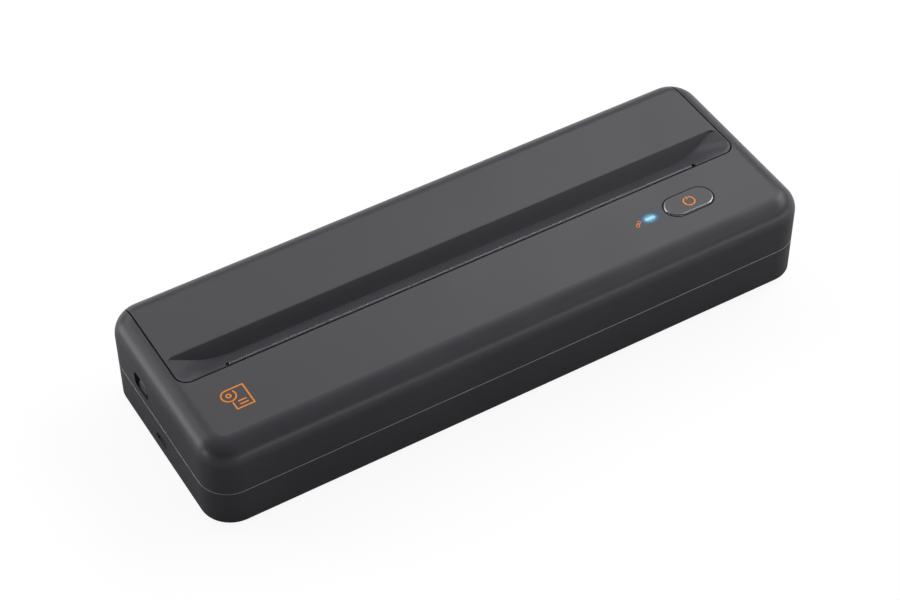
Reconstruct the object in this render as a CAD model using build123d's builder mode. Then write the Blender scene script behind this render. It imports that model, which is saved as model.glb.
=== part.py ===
"""A4 portable thermal printer: a flat rounded casing with a hinged rear cover.

Frame: X runs along the paper width, -Y is the front, +Z is up. The origin is in the
middle of the footprint, on the surface that the feet stand on. All sizes are millimetres.
"""

import os
from math import atan, atan2, cos, degrees, pi, radians, sin, sqrt

from build123d import *

os.makedirs("parts", exist_ok=True)

# %% Driving dimensions: casing
side_room = 28.0
front_depth = 40.2
cover_depth = 52.8
casing_height = 41.5
foot_standoff = 0.8
wall = 2.0
plan_corner = 13.0
top_rounding = 9.0
inner_bevel = 4.5
bottom_bevel = 1.6
lower_height = 18.3
seam_bevel = 0.25

# %% Driving dimensions: cover, recess and hinge
cover_side = 8.5
cover_gap = 0.6
cover_corner = 5.0
skirt_drop = 2.5
hinge_back = 5.5
hinge_down = 7.3
recess_depth = 5.5
recess_slope = 10.2
recess_run = 15.0
recess_hip = 17.1
recess_corner = 3.5
recess_rim = 0.4
recess_rim_drop = 0.06
recess_edge = 0.5
floor_blend = 18.0
arm_width = 5.7
arm_reach = 6.0
knuckle_radius = 2.9
hinge_boss_length = 5.0
hinge_boss_radius = 3.0
hinge_boss_end = 1.0
hinge_pin_radius = 1.25
hinge_pin_length = 9.5

# %% Driving dimensions: paper path
print_width = 216.0
tooth_pitch = 1.0
tooth_depth = 0.6
tear_bar_back = 0.7
tear_bar_thickness = 0.6
tear_bar_bevel = 0.8
tear_bar_height = 3.5
tear_bar_inset = 1.4
tear_groove = 0.9
tear_groove_depth = 2.1
tear_rib = 0.8
platen_back = 7.3
platen_down = 14.3
platen_radius = 6.0
platen_shaft_radius = 2.0
platen_shaft_end = 3.0
head_lean = 25.0
head_clearance = 0.3
head_board_thickness = 1.0
head_board_above = 3.0
head_board_below = 8.0
heat_sink_thickness = 4.0
heat_sink_above = 2.5
heat_sink_below = 11.0
heat_sink_slots = 3
heat_sink_slot_width = 1.4
heat_sink_slot_depth = 2.0
head_margin = 1.0
head_pivot_inset = 3.0
head_pivot_below = 9.0
head_pivot_radius = 1.2
head_pivot_depth = 5.0
spring_gap = 3.5
spring_play = 0.4
spring_strip = 0.4
spring_width = 6.0
spring_height = 7.0
spring_crest = 1.0
spring_count = 4
sheet = 1.2
bracket_height = 9.0
bracket_front = 9.7
bracket_post = (6.0, 5.0)
bracket_post_spacing = 66.0
bracket_post_count = 4
ear_behind_shaft = 3.5
ear_above_shaft = 1.5
ear_slot_gap = 0.4
tray_lead = 1.7
tray_back_gap = 0.8
tray_wall = 1.2
tray_margin = 2.0
tray_rear_lip = 3.5
tray_front_angle = 22.0

# %% Driving dimensions: cover frame and bearings
cheek_margin = 2.6
cheek_thickness = 2.4
cheek_half = 4.6
frame_web_back = 18.8
frame_web_thickness = 1.6
frame_web_height = 8.8
frame_arm_low = 2.0
frame_flange = 7.0
bearing_block = 6.8
bearing_flange = 0.8
bearing_flange_thickness = 0.6
catch_depth = 2.5
catch_height = 2.5
catch_reach = 2.4

# %% Driving dimensions: gear train
gear_module = 0.5
pressure_angle = 20.0
addendum = 0.8
dedendum = 1.25
backlash = 0.1
platen_teeth = 24
idler_small_teeth = 16
idler_large_teeth = 40
pinion_teeth = 12
gear_gap = 2.4
platen_gear_width = 3.1
pinion_drop = 4.0
pinion_overlap = 0.1
gear_side_gap = 0.4
large_gear_width = 1.5
idler_axle_radius = 1.5
plate_gap = 0.4
motor_radius = 10.0
motor_length = 11.0
motor_shaft_radius = 1.0
motor_shaft_depth = 6.6
motor_ear = 1.0
motor_ear_width = 5.0
motor_screw_radius = 0.9
bracket_wall = 12.9
bracket_foot = 10.0

# %% Driving dimensions: latch and release slider
latch_back = 17.3
latch_up = 3.2
latch_bar_radius = 1.5
saddle_width = 5.2
latch_width = 3.0
latch_saddles = (-122.0, -60.0, 0.0, 60.0)
saddle_rise = 1.0
hook_gap = 0.4
hook_thickness = 1.6
hook_foot = 2.2
hook_nose = 1.2
hook_rise = 3.0
slider_window_lead = 3.0
slider_window_length = 12.0
slider_window_height = 8.0
slider_window_middle = 26.5
slider_travel = 3.0
slider_plate = 1.2
slider_overlap = 1.0
knob_length = 8.3
knob_height = 6.0
knob_start = 0.6
knob_sink = 0.3
fork_prong = 1.5
fork_play = 0.3
fork_height = 2.0
fork_reach = 3.9
fork_end = 0.5
knob_rounding = 0.8
spring_folds = 6
spring_leaf = 0.4
spring_side = 2.6
spring_room = 5.5
rail_lip = 1.0

# %% Driving dimensions: button, status light, sockets and boards
button_side = 43.1
button_front = 24.1
button_length = 22.3
button_width = 11.1
button_gap = 0.35
button_proud = 0.5
button_travel = 0.6
button_cap = 2.3
button_flange = 1.0
button_flange_thickness = 0.7
button_stem = 3.6
button_rounding = 0.6
collar_wall = 1.2
collar_depth = 3.4
light_side = 61.8
light_front = 24.1
light_length = 4.7
light_width = 1.6
light_flange = 0.8
led_length = 3.2
led_height = 1.0
switch_side = 6.0
switch_height = 1.2
switch_plunger = 0.4
board = 1.2
board_post = 3.6
board_edge = 2.2
button_board_down = 7.1
button_board_size = (49.0, 17.0)
main_board_size = (155.0, 22.0)
main_board_front = 20.3
main_board_side = 114.0
main_board_down = 14.0
chip_height = 1.8
chip_sizes = [(-40.0, 14.0, 12.0), (-8.0, 7.0, 7.0), (8.0, 7.0, 7.0), (52.0, 16.0, 6.0)]
coil_height = 6.0
coil_radius = 3.2
coil_offsets = (28.0, 68.0)
sensor_size = (8.0, 3.0, 5.0)
sensor_x = -20.0
sensor_drop_angle = 37.0
usb_y = -0.65
usb_up = 8.8
usb_width = 9.0
usb_height = 3.2
usb_length = 7.5
usb_skin = 0.35
usb_recess = 0.4
usb_clearance = 0.2
usb_board_size = (17.0, 16.0)
usb_tongue_share = 0.74
usb_core = 1.5
cell_radius = 9.2
cell_length = 65.0
cell_inset = 1.4
cell_gap = 10.0
cell_row_side = 31.0
cradle_inset = 9.75

# %% Driving dimensions: small clearances, screws and feet
running = 0.06
snug = 0.02
free = 0.3
screw_radius = 1.1
screw_head_radius = 2.4
screw_head = 1.8
screw_head_sides = 12
screw_seat = 5.0
screw_boss = 7.0
screw_length = 22.0
screw_inset = (7.0, 8.0)
foot_pad = (14.0, 9.0)
foot_thickness = 1.6
foot_inset = (20.0, 13.5)

# %% Derived heights and places
length = print_width + 2 * side_room
depth = front_depth + cover_depth
half_length = length / 2
half_depth = depth / 2
cover_front = front_depth - half_depth
cover_half = half_length - cover_side
recess_front = cover_front + recess_rim
recess_half = cover_half - recess_rim
recess_valley = cover_front + recess_slope
recess_back = cover_front + recess_run
recess_valley_half = recess_half - recess_hip
bottom_z = foot_standoff
top_z = bottom_z + casing_height
seam_z = bottom_z + lower_height
floor_z = bottom_z + wall
ceiling_z = top_z - wall
hinge_y = half_depth - hinge_back
hinge_z = top_z - hinge_down
skirt_z = hinge_z - skirt_drop
sweep_radius = sqrt(hinge_back**2 + skirt_drop**2) + cover_gap
opening_half = cover_half + cover_gap
hinge_end = opening_half + hinge_boss_length - hinge_boss_end
platen_y = cover_front + platen_back
platen_z = top_z - platen_down
lean = radians(head_lean)
contact_gap = platen_radius + head_clearance
contact_y = platen_y - contact_gap * cos(lean)
contact_z = platen_z - contact_gap * sin(lean)
head_plane = Plane(
    origin=(0, contact_y, contact_z), x_dir=(0, cos(lean), sin(lean)), z_dir=(1, 0, 0)
)
spring_wall = head_board_thickness + heat_sink_thickness + spring_gap
head_half = print_width / 2 + head_margin
tray_half = print_width / 2 + tray_margin
cheek_inner = print_width / 2 + cheek_margin
cheek_outer = cheek_inner + cheek_thickness
gear_start = cheek_outer + gear_gap
ear_inner = cheek_outer + gear_side_gap
gear_end = gear_start + platen_gear_width
large_gear_start = gear_end + gear_side_gap
large_gear_end = large_gear_start + large_gear_width
plate_x = large_gear_end + plate_gap
motor_face = plate_x + sheet
latch_y = cover_front + latch_back
latch_z = floor_z + latch_up
tray_front = latch_y - tray_lead
tray_outer = (half_depth - wall - tray_back_gap - tray_front) / 2
tray_radius = tray_outer - tray_wall
roll_y = tray_front + tray_outer
tray_z = floor_z + free + tray_outer
slider_z = bottom_z + slider_window_middle
usb_z = bottom_z + usb_up
inner_x = half_length - wall
paper_slot_half = print_width / 2
tear_bar_half = paper_slot_half - tear_bar_inset
tear_bar_y = cover_front + tear_bar_back
tear_wall_y = tear_bar_y + tear_bar_thickness
tear_bar_low = top_z - tear_bar_height
frame_web_y = cover_front + frame_web_back
frame_back = frame_web_y + frame_web_thickness
hook_end = ear_inner + hook_thickness
button_x = half_length - button_side
button_y = button_front - half_depth
light_x = half_length - light_side
light_y = light_front - half_depth
bracket_foot_z = floor_z + bracket_height
bracket_foot_y = cover_front - bracket_front

# The platen leaves along the tangent of its circle about the hinge. The idler sits straight
# below on that line, and the pinion in front of the idler.
platen_radius_to_hinge = sqrt((hinge_y - platen_y) ** 2 + (hinge_z - platen_z) ** 2)
leave_y = (platen_z - hinge_z) / platen_radius_to_hinge
leave_z = (hinge_y - platen_y) / platen_radius_to_hinge
idler_distance = gear_module * (platen_teeth + idler_small_teeth) / 2
idler_y = platen_y - leave_y * idler_distance
idler_z = platen_z - leave_z * idler_distance
pinion_distance = gear_module * (idler_large_teeth + pinion_teeth) / 2
pinion_z = idler_z - pinion_drop
pinion_y = idler_y - sqrt(pinion_distance**2 - pinion_drop**2)

screw_x = half_length - screw_inset[0]
screw_y = half_depth - screw_inset[1]
foot_x = half_length - foot_inset[0]
foot_y = half_depth - foot_inset[1]


# %% Shared forms
def casing_form(inset):
    """The rounded form of the closed casing, or its plainer hollow taken in by inset."""
    with BuildPart() as form:
        with BuildSketch(Plane.XY.offset(bottom_z + inset)):
            RectangleRounded(length - 2 * inset, depth - 2 * inset, plan_corner - inset)
        extrude(amount=casing_height - 2 * inset)
        top_edges = form.faces().sort_by(Axis.Z)[-1].edges()
        if inset:
            chamfer(top_edges, inner_bevel)
        else:
            fillet(top_edges, top_rounding)
            chamfer(form.faces().sort_by(Axis.Z)[0].edges(), bottom_bevel)
    return form.part


def cover_prism(grow, low):
    """The cover's plan outline, grown by grow, from height low to above the casing."""
    with BuildPart() as prism:
        with BuildSketch(Plane.XY.offset(low)) as plan:
            with Locations((0, cover_front - grow)):
                Rectangle(2 * (cover_half + grow), depth, align=(Align.CENTER, Align.MIN))
            fillet(plan.vertices().group_by(Axis.Y)[0], cover_corner + grow)
        extrude(amount=top_z + wall - low)
    return prism.part


def recess_wedge(skin):
    """The hipped hollow in the cover, grown by skin and open past the top."""
    rise = 2 * wall
    front_run = (recess_valley - recess_front) / recess_depth
    back_run = (recess_back - recess_valley) / recess_depth
    side_run = (recess_half - recess_valley_half) / recess_depth
    valley_z = top_z - recess_depth
    with BuildPart() as wedge:
        with BuildSketch(Plane.YZ):
            Polygon(
                (recess_valley, valley_z),
                (recess_back + back_run * rise, top_z + rise),
                (recess_front - front_run * rise, top_z + rise),
            )
            if skin:
                offset(amount=skin, kind=Kind.INTERSECTION)
        extrude(amount=half_length, both=True)
        with BuildSketch(Plane.XZ):
            low_half = recess_valley_half - side_run * rise
            high_half = recess_half + side_run * rise
            Polygon(
                (-low_half, valley_z - rise),
                (low_half, valley_z - rise),
                (high_half, top_z + rise),
                (-high_half, top_z + rise),
            )
            if skin:
                offset(amount=skin, kind=Kind.INTERSECTION)
        extrude(amount=depth, both=True, mode=Mode.INTERSECT)
    return wedge.part


def bar_along_x(low, high, y, z, radius):
    """A round bar along X from low to high, to be added or cut."""
    with BuildPart() as bar:
        with BuildSketch(Plane.YZ.offset(low)):
            with Locations((y, z)):
                Circle(radius)
        extrude(amount=high - low)
    return bar.part


def gear_phase(teeth, direction, other_teeth, other_direction, other_turn):
    """The turn in degrees that puts a gap of this gear where the other has a tooth."""
    other_share = other_teeth * (other_direction - other_turn) / 360
    own_share = 0.5 - other_share
    return direction - own_share * 360 / teeth


def gear_outline(teeth, turn, y, z):
    """Teeth around (y, z), one centred turn degrees from +Y, with flanks drawn as chords."""
    pitch_radius = gear_module * teeth / 2
    base_radius = pitch_radius * cos(radians(pressure_angle))
    tip_radius = pitch_radius + addendum * gear_module
    root_radius = pitch_radius - dedendum * gear_module

    def involute(radius):
        reach = sqrt(max((radius / base_radius) ** 2 - 1, 0))
        return reach - atan(reach)

    half_tooth = pi / (2 * teeth) - backlash / (4 * pitch_radius) + involute(pitch_radius)
    flank = [(root_radius, half_tooth), (tip_radius, half_tooth - involute(tip_radius))]
    points = []
    for tooth in range(teeth):
        middle = radians(turn) + 2 * pi * tooth / teeth
        around = [(r, middle - a) for r, a in flank] + [(r, middle + a) for r, a in reversed(flank)]
        points += [(y + r * cos(angle), z + r * sin(angle)) for r, angle in around]
    Polygon(*points)


outer_form = casing_form(0)
inner_form = casing_form(wall)

# %% Base shell
usb_slot = (usb_width + 2 * usb_clearance, usb_height + 2 * usb_clearance)
cell_y = wall + cell_inset + cell_radius - half_depth
cell_z = floor_z + free + cell_radius
cell_starts = [cell_row_side - half_length + i * (cell_length + cell_gap) for i in range(2)]
cradle_ends = (cradle_inset, cell_length - cradle_inset)
cradle_x = [start + end for start in cell_starts for end in cradle_ends]
usb_board_z = usb_z - usb_height / 2 - board
usb_board_middle = -(inner_x - free) + usb_board_size[0] / 2

with BuildPart() as base_shell:
    add(outer_form)
    add(inner_form, mode=Mode.SUBTRACT)
    split(bisect_by=Plane.XY.offset(seam_z), keep=Keep.BOTTOM)
    rim = base_shell.faces().filter_by(Axis.Z).sort_by(Axis.Z)[-1].outer_wire()
    chamfer(rim.edges(), seam_bevel)
    # Cradles for the two cells.
    for x in cradle_x:
        with BuildSketch(Plane.YZ.offset(x)):
            with Locations((cell_y, floor_z)):
                Rectangle(2 * cell_radius + wall, cell_radius, align=(Align.CENTER, Align.MIN))
            with Locations((cell_y, cell_z)):
                Circle(cell_radius + free, mode=Mode.SUBTRACT)
        extrude(amount=wall)
    # Open saddles that carry the latch bar.
    for x in latch_saddles:
        with BuildSketch(Plane.YZ.offset(x)):
            with Locations((latch_y, floor_z)):
                Rectangle(
                    saddle_width, latch_up + saddle_rise, align=(Align.CENTER, Align.MIN)
                )
            with Locations((latch_y, latch_z)):
                Circle(latch_bar_radius + running, mode=Mode.SUBTRACT)
                Rectangle(
                    2 * (latch_bar_radius + running),
                    latch_up,
                    align=(Align.CENTER, Align.MIN),
                    mode=Mode.SUBTRACT,
                )
        extrude(amount=wall)
    # Posts under the head bracket and the socket board.
    with BuildSketch(Plane.XY.offset(floor_z)):
        with Locations((0, bracket_foot_y)):
            with GridLocations(bracket_post_spacing, 0, bracket_post_count, 1):
                Rectangle(*bracket_post)
    extrude(amount=bracket_foot_z - floor_z)
    with BuildSketch(Plane.XY.offset(floor_z)):
        with Locations((usb_board_middle, usb_y)):
            with GridLocations(
                usb_board_size[0] - 2 * board_edge, usb_board_size[1] - 2 * board_edge, 2, 2
            ):
                Rectangle(board_post, board_post)
    extrude(amount=usb_board_z - floor_z)
    # Screw bosses with head pockets from below.
    with BuildSketch(Plane.XY.offset(floor_z)):
        with GridLocations(2 * screw_x, 2 * screw_y, 2, 2):
            Rectangle(screw_boss, screw_boss)
    extrude(amount=seam_z - floor_z)
    add(outer_form, mode=Mode.INTERSECT)
    with BuildSketch(Plane.XY.offset(bottom_z)):
        with GridLocations(2 * screw_x, 2 * screw_y, 2, 2):
            RegularPolygon(screw_head_radius + free, screw_head_sides, major_radius=False)
    extrude(amount=screw_seat, mode=Mode.SUBTRACT)
    with BuildSketch(Plane.XY.offset(bottom_z)):
        with GridLocations(2 * screw_x, 2 * screw_y, 2, 2):
            RegularPolygon(screw_radius + free, 6, major_radius=False)
    extrude(amount=casing_height, mode=Mode.SUBTRACT)
    # Seats for the feet and the socket opening in the left wall.
    with BuildSketch(Plane.XY.offset(bottom_z)):
        with GridLocations(2 * foot_x, 2 * foot_y, 2, 2):
            Rectangle(foot_pad[0] + 2 * snug, foot_pad[1] + 2 * snug)
    extrude(amount=foot_thickness - foot_standoff, mode=Mode.SUBTRACT)
    with BuildSketch(Plane.YZ.offset(-half_length)):
        with Locations((usb_y, usb_z)):
            SlotOverall(*usb_slot)
    extrude(amount=2 * wall, mode=Mode.SUBTRACT)
base_shell.part.label = "base_shell"
export_step(base_shell.part, "parts/base_shell.step")

# %% Upper shell
button_board_z = top_z - button_board_down
button_board_middle = ((button_x + light_x) / 2 + board_edge, button_y)
main_board_middle = (main_board_side - half_length, main_board_front - half_depth)
main_board_z = ceiling_z - main_board_down
slider_window_front = latch_y - slider_window_lead
slider_window_y = slider_window_front + slider_window_length / 2
slider_plate_low = slider_z - slider_window_height / 2 - slider_overlap
slider_plate_high = slider_z + slider_window_height / 2 + slider_overlap
slider_plate_x = -(inner_x - free)
slider_inner_x = slider_plate_x + slider_plate
guide_lip_x = slider_inner_x + free
spring_end_x = slider_inner_x + spring_side + free
guide_front = slider_window_front - slider_travel - slider_overlap
slider_back = slider_window_front + slider_window_length + slider_overlap
spring_stop = slider_back + spring_room
screw_top = bottom_z + screw_seat + screw_length

with BuildPart() as hinge_bosses:
    for side in (-1, 1):
        with BuildSketch(Plane.YZ.offset(side * opening_half)):
            with Locations((hinge_y, hinge_z)):
                Circle(hinge_boss_radius)
        extrude(amount=side * hinge_boss_length)
    add(outer_form, mode=Mode.INTERSECT)

with BuildPart() as upper_shell:
    add(outer_form)
    add(inner_form, mode=Mode.SUBTRACT)
    split(bisect_by=Plane.XY.offset(seam_z), keep=Keep.TOP)
    rim = upper_shell.faces().filter_by(Axis.Z).sort_by(Axis.Z)[0].outer_wire()
    chamfer(rim.edges(), seam_bevel)
    # Screw bosses hang from the walls at each screw.
    with BuildSketch(Plane.XY.offset(seam_z)):
        with GridLocations(2 * screw_x, 2 * screw_y, 2, 2):
            Rectangle(screw_boss, screw_boss)
    extrude(amount=screw_top - seam_z + wall)
    add(outer_form, mode=Mode.INTERSECT)
    with BuildSketch(Plane.XY.offset(seam_z)):
        with GridLocations(2 * screw_x, 2 * screw_y, 2, 2):
            RegularPolygon(screw_radius + snug, 6, major_radius=False)
    extrude(amount=screw_top - seam_z + free, mode=Mode.SUBTRACT)
    # Posts down to the main board and the button board.
    for (board_x, board_y), (size_x, size_y), low in (
        (main_board_middle, main_board_size, main_board_z + board),
        (button_board_middle, button_board_size, button_board_z + board),
    ):
        with BuildSketch(Plane.XY.offset(low)):
            with Locations((board_x, board_y)):
                with GridLocations(size_x - 2 * board_edge, size_y - 2 * board_edge, 2, 2):
                    Rectangle(board_post, board_post)
        extrude(amount=ceiling_z - low)
    # The opening for the cover, the channel its skirt turns through, and the bosses of its pins.
    add(cover_prism(cover_gap, hinge_z), mode=Mode.SUBTRACT)
    add(
        bar_along_x(-opening_half, opening_half, hinge_y, hinge_z, sweep_radius),
        mode=Mode.SUBTRACT,
    )
    with BuildSketch(Plane.XY.offset(skirt_z)):
        with Locations((0, hinge_y)):
            Rectangle(2 * opening_half, depth, align=(Align.CENTER, Align.MIN))
    extrude(amount=hinge_z - skirt_z, mode=Mode.SUBTRACT)
    add(hinge_bosses.part)
    add(
        bar_along_x(-hinge_end, hinge_end, hinge_y, hinge_z, hinge_pin_radius + snug),
        mode=Mode.SUBTRACT,
    )
    # Button opening with its collar, and the opening of the status light.
    with BuildSketch(Plane.XY.offset(ceiling_z)):
        with Locations((button_x, button_y)):
            Rectangle(
                button_length + 2 * (button_flange + free + collar_wall),
                button_width + 2 * (button_flange + free + collar_wall),
            )
            Rectangle(
                button_length + 2 * (button_flange + free),
                button_width + 2 * (button_flange + free),
                mode=Mode.SUBTRACT,
            )
    extrude(amount=-collar_depth)
    with BuildSketch(Plane.XY.offset(ceiling_z)):
        with Locations((button_x, button_y)):
            SlotOverall(button_length + 2 * button_gap, button_width + 2 * button_gap)
        with Locations((light_x, light_y)):
            SlotOverall(light_length + 2 * snug, light_width + 2 * snug)
    extrude(amount=2 * wall, mode=Mode.SUBTRACT)
    # Window of the release slider in the left wall, between the two rails that hold it.
    with BuildSketch(Plane.YZ.offset(-half_length)):
        with Locations((slider_window_y, slider_z)):
            RectangleRounded(slider_window_length, slider_window_height, slider_window_height / 3)
    extrude(amount=wall, mode=Mode.SUBTRACT)
    for rail_z, lip_z in (
        (slider_plate_low - free - wall / 2, slider_plate_low),
        (slider_plate_high + free + wall / 2, slider_plate_high),
    ):
        with BuildSketch(Plane.XZ.offset(-guide_front)):
            with Locations((-inner_x, rail_z)):
                Rectangle(guide_lip_x + inner_x + rail_lip, wall, align=(Align.MIN, Align.CENTER))
            with Locations((guide_lip_x, lip_z)):
                Rectangle(rail_lip, wall, align=(Align.MIN, Align.CENTER))
        extrude(amount=-(spring_stop - guide_front))
    # Stop of the slider's spring, across the rear ends of the rails.
    with BuildSketch(Plane.XZ.offset(-spring_stop)):
        with Locations((-inner_x, slider_z)):
            Rectangle(
                spring_end_x + inner_x,
                slider_plate_high - slider_plate_low + 2 * (free + wall),
                align=(Align.MIN, Align.CENTER),
            )
    extrude(amount=-wall)
upper_shell.part.label = "upper_shell"
export_step(upper_shell.part, "parts/upper_shell.step")

# %% Top cover with the hipped recess
with BuildPart() as recess_tool:
    add(recess_wedge(0))
    slanted = recess_tool.edges().filter_by(Axis.X, reverse=True).filter_by(Axis.Y, reverse=True)
    front_hips = slanted.sort_by(Axis.Z)[:4].sort_by(Axis.Y)[:2]
    fillet(front_hips, floor_blend)
    with BuildSketch(Plane.XY.offset(top_z - 2 * recess_depth)) as rim_plan:
        with Locations((0, recess_back)):
            Rectangle(2 * recess_half, recess_back - recess_front, align=(Align.CENTER, Align.MAX))
        fillet(rim_plan.vertices().group_by(Axis.Y)[-1], recess_corner)
        fillet(rim_plan.vertices().group_by(Axis.Y)[0], cover_corner - recess_rim)
    extrude(amount=4 * recess_depth, mode=Mode.INTERSECT)

# Slight bevels that the recess has along its rear edge and along the cover's front edge.
with BuildPart() as edge_bevels:
    with BuildSketch(Plane.YZ):
        Polygon(
            (recess_back + recess_edge, top_z),
            (recess_back - recess_edge, top_z - 2 * recess_rim_drop),
            (recess_back - recess_edge, top_z + wall),
            (recess_back + recess_edge, top_z + wall),
        )
    extrude(amount=recess_half - recess_corner, both=True)
    with BuildSketch(Plane.YZ):
        Polygon(
            (recess_front, top_z),
            (cover_front, top_z - recess_rim_drop),
            (cover_front, top_z + wall),
            (recess_front, top_z + wall),
        )
    extrude(amount=cover_half - cover_corner, both=True)

with BuildPart() as recess_body:
    add(recess_wedge(wall))
    add(outer_form, mode=Mode.INTERSECT)

with BuildPart() as cover_arms:
    for side in (-1, 1):
        with BuildSketch(Plane.YZ.offset(side * (cover_half - free))):
            with Locations((hinge_y, hinge_z)):
                Circle(knuckle_radius)
            with Locations((hinge_y + knuckle_radius, hinge_z)):
                Rectangle(2 * knuckle_radius + arm_reach, hinge_down, align=(Align.MAX, Align.MIN))
        extrude(amount=-side * arm_width)
    add(outer_form, mode=Mode.INTERSECT)

with BuildPart() as top_cover:
    add(outer_form)
    add(inner_form, mode=Mode.SUBTRACT)
    add(recess_body.part)
    add(cover_prism(0, skirt_z), mode=Mode.INTERSECT)
    # Only the rear edge reaches down; the cover's side and front edges end at the ceiling.
    add(cover_arms.part)
    add(recess_tool.part, mode=Mode.SUBTRACT)
    add(
        bar_along_x(-hinge_end, hinge_end, hinge_y, hinge_z, hinge_pin_radius + running),
        mode=Mode.SUBTRACT,
    )
    add(edge_bevels.part, mode=Mode.SUBTRACT)
    # A rib behind the tear bar, the paper slot in front of it and the groove behind its teeth.
    with BuildSketch(Plane.YZ):
        with Locations((tear_wall_y, tear_bar_low)):
            Rectangle(
                tear_groove + tear_rib,
                tear_bar_height - tear_groove_depth,
                align=(Align.MIN, Align.MIN),
            )
    extrude(amount=paper_slot_half, both=True)
    with BuildSketch(Plane.YZ):
        with Locations((tear_wall_y, tear_bar_low)):
            Rectangle(
                tear_wall_y - cover_front + wall,
                tear_bar_height + wall,
                align=(Align.MAX, Align.MIN),
            )
        with Locations((tear_wall_y, top_z - tear_groove_depth)):
            Rectangle(tear_groove, tear_groove_depth + wall, align=(Align.MIN, Align.MIN))
    extrude(amount=paper_slot_half, both=True, mode=Mode.SUBTRACT)
top_cover.part.label = "top_cover"
export_step(top_cover.part, "parts/top_cover.step")

# %% Tear bar: an upright strip bevelled towards the paper slot, with a row of teeth on top
tooth_count = int(2 * tear_bar_half / tooth_pitch)
first_tooth = -tooth_count * tooth_pitch / 2
root_z = top_z - tooth_depth
tooth_points = []
for tooth in range(tooth_count):
    root_x = first_tooth + tooth * tooth_pitch
    tooth_points += [(root_x, root_z), (root_x + tooth_pitch / 2, top_z)]

with BuildPart() as tear_bar:
    with BuildSketch(Plane.YZ):
        Polygon(
            (tear_bar_y, tear_bar_low),
            (tear_wall_y, tear_bar_low),
            (tear_wall_y, top_z),
            (tear_bar_y, top_z - tear_bar_bevel),
        )
    extrude(amount=tear_bar_half, both=True)
    with BuildSketch(Plane.XZ):
        with BuildLine():
            Polyline(
                (-tear_bar_half, tear_bar_low),
                (-tear_bar_half, root_z),
                *tooth_points,
                (-first_tooth, root_z),
                (tear_bar_half, root_z),
                (tear_bar_half, tear_bar_low),
                close=True,
            )
        make_face()
    extrude(amount=depth, both=True, mode=Mode.INTERSECT)
tear_bar.part.label = "tear_bar"
export_step(tear_bar.part, "parts/tear_bar.step")

# %% Hinge pins
with BuildPart() as hinge_pins:
    for side in (-1, 1):
        with BuildSketch(Plane.YZ.offset(side * (hinge_end - free))):
            with Locations((hinge_y, hinge_z)):
                Circle(hinge_pin_radius)
        extrude(amount=-side * hinge_pin_length)
hinge_pins.part.label = "hinge_pins"
export_step(hinge_pins.part, "parts/hinge_pins.step")

# %% Cover frame that carries the platen bearings, with a catch at each end
with BuildPart() as cover_frame:
    with BuildSketch(Plane.YZ):
        with Locations((frame_web_y, ceiling_z)):
            Rectangle(frame_web_thickness, frame_web_height, align=(Align.MIN, Align.MAX))
            Rectangle(frame_flange, frame_web_thickness, align=(Align.MIN, Align.MAX))
    extrude(amount=cheek_outer, both=True)
    for side in (-1, 1):
        with BuildSketch(Plane.YZ.offset(side * cheek_inner)):
            with Locations((platen_y, platen_z)):
                Rectangle(2 * cheek_half, 2 * cheek_half)
            with Locations((platen_y, platen_z - frame_arm_low)):
                Rectangle(
                    frame_back - platen_y, frame_arm_low + cheek_half, align=(Align.MIN, Align.MIN)
                )
            with Locations((frame_back, platen_z - frame_arm_low)):
                Rectangle(
                    catch_depth,
                    ceiling_z - platen_z + frame_arm_low,
                    align=(Align.MAX, Align.MIN),
                )
            with Locations((platen_y, platen_z)):
                Rectangle(
                    bearing_block + 2 * snug, bearing_block + 2 * snug, mode=Mode.SUBTRACT
                )
        extrude(amount=side * cheek_thickness)
        with BuildSketch(Plane.YZ.offset(side * cheek_outer)):
            with Locations((frame_back, platen_z - frame_arm_low)):
                Rectangle(catch_depth, catch_height, align=(Align.MAX, Align.MIN))
        extrude(amount=side * catch_reach)
cover_frame.part.label = "cover_frame"
export_step(cover_frame.part, "parts/cover_frame.step")

# %% Platen: bearings, shaft, rubber and gear
with BuildPart() as platen_bushings:
    for side in (-1, 1):
        with BuildSketch(Plane.YZ.offset(side * cheek_outer)):
            with Locations((platen_y, platen_z)):
                Rectangle(bearing_block, bearing_block)
        extrude(amount=-side * cheek_thickness)
        with BuildSketch(Plane.YZ.offset(side * cheek_inner)):
            with Locations((platen_y, platen_z)):
                Rectangle(bearing_block + 2 * bearing_flange, bearing_block + 2 * bearing_flange)
        extrude(amount=-side * bearing_flange_thickness)
    add(
        bar_along_x(-half_length, half_length, platen_y, platen_z, platen_shaft_radius + running),
        mode=Mode.SUBTRACT,
    )
platen_bushings.part.label = "platen_bushings"
export_step(platen_bushings.part, "parts/platen_bushings.step")

with BuildPart() as platen_shaft:
    left_end = -(cheek_outer + platen_shaft_end)
    add(bar_along_x(left_end, gear_end, platen_y, platen_z, platen_shaft_radius))
platen_shaft.part.label = "platen_shaft"
export_step(platen_shaft.part, "parts/platen_shaft.step")

with BuildPart() as platen_roller:
    with BuildSketch(Plane.YZ):
        with Locations((platen_y, platen_z)):
            Circle(platen_radius)
            Circle(platen_shaft_radius + snug, mode=Mode.SUBTRACT)
    extrude(amount=print_width / 2, both=True)
platen_roller.part.label = "platen_roller"
export_step(platen_roller.part, "parts/platen_roller.step")

# %% Gear train: platen gear, two-step idler and motor pinion
to_idler = degrees(atan2(idler_z - platen_z, idler_y - platen_y))
to_pinion = degrees(atan2(pinion_z - idler_z, pinion_y - idler_y))
idler_small_turn = gear_phase(idler_small_teeth, to_idler + 180, platen_teeth, to_idler, 0)
pinion_turn = gear_phase(pinion_teeth, to_pinion + 180, idler_large_teeth, to_pinion, 0)

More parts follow.
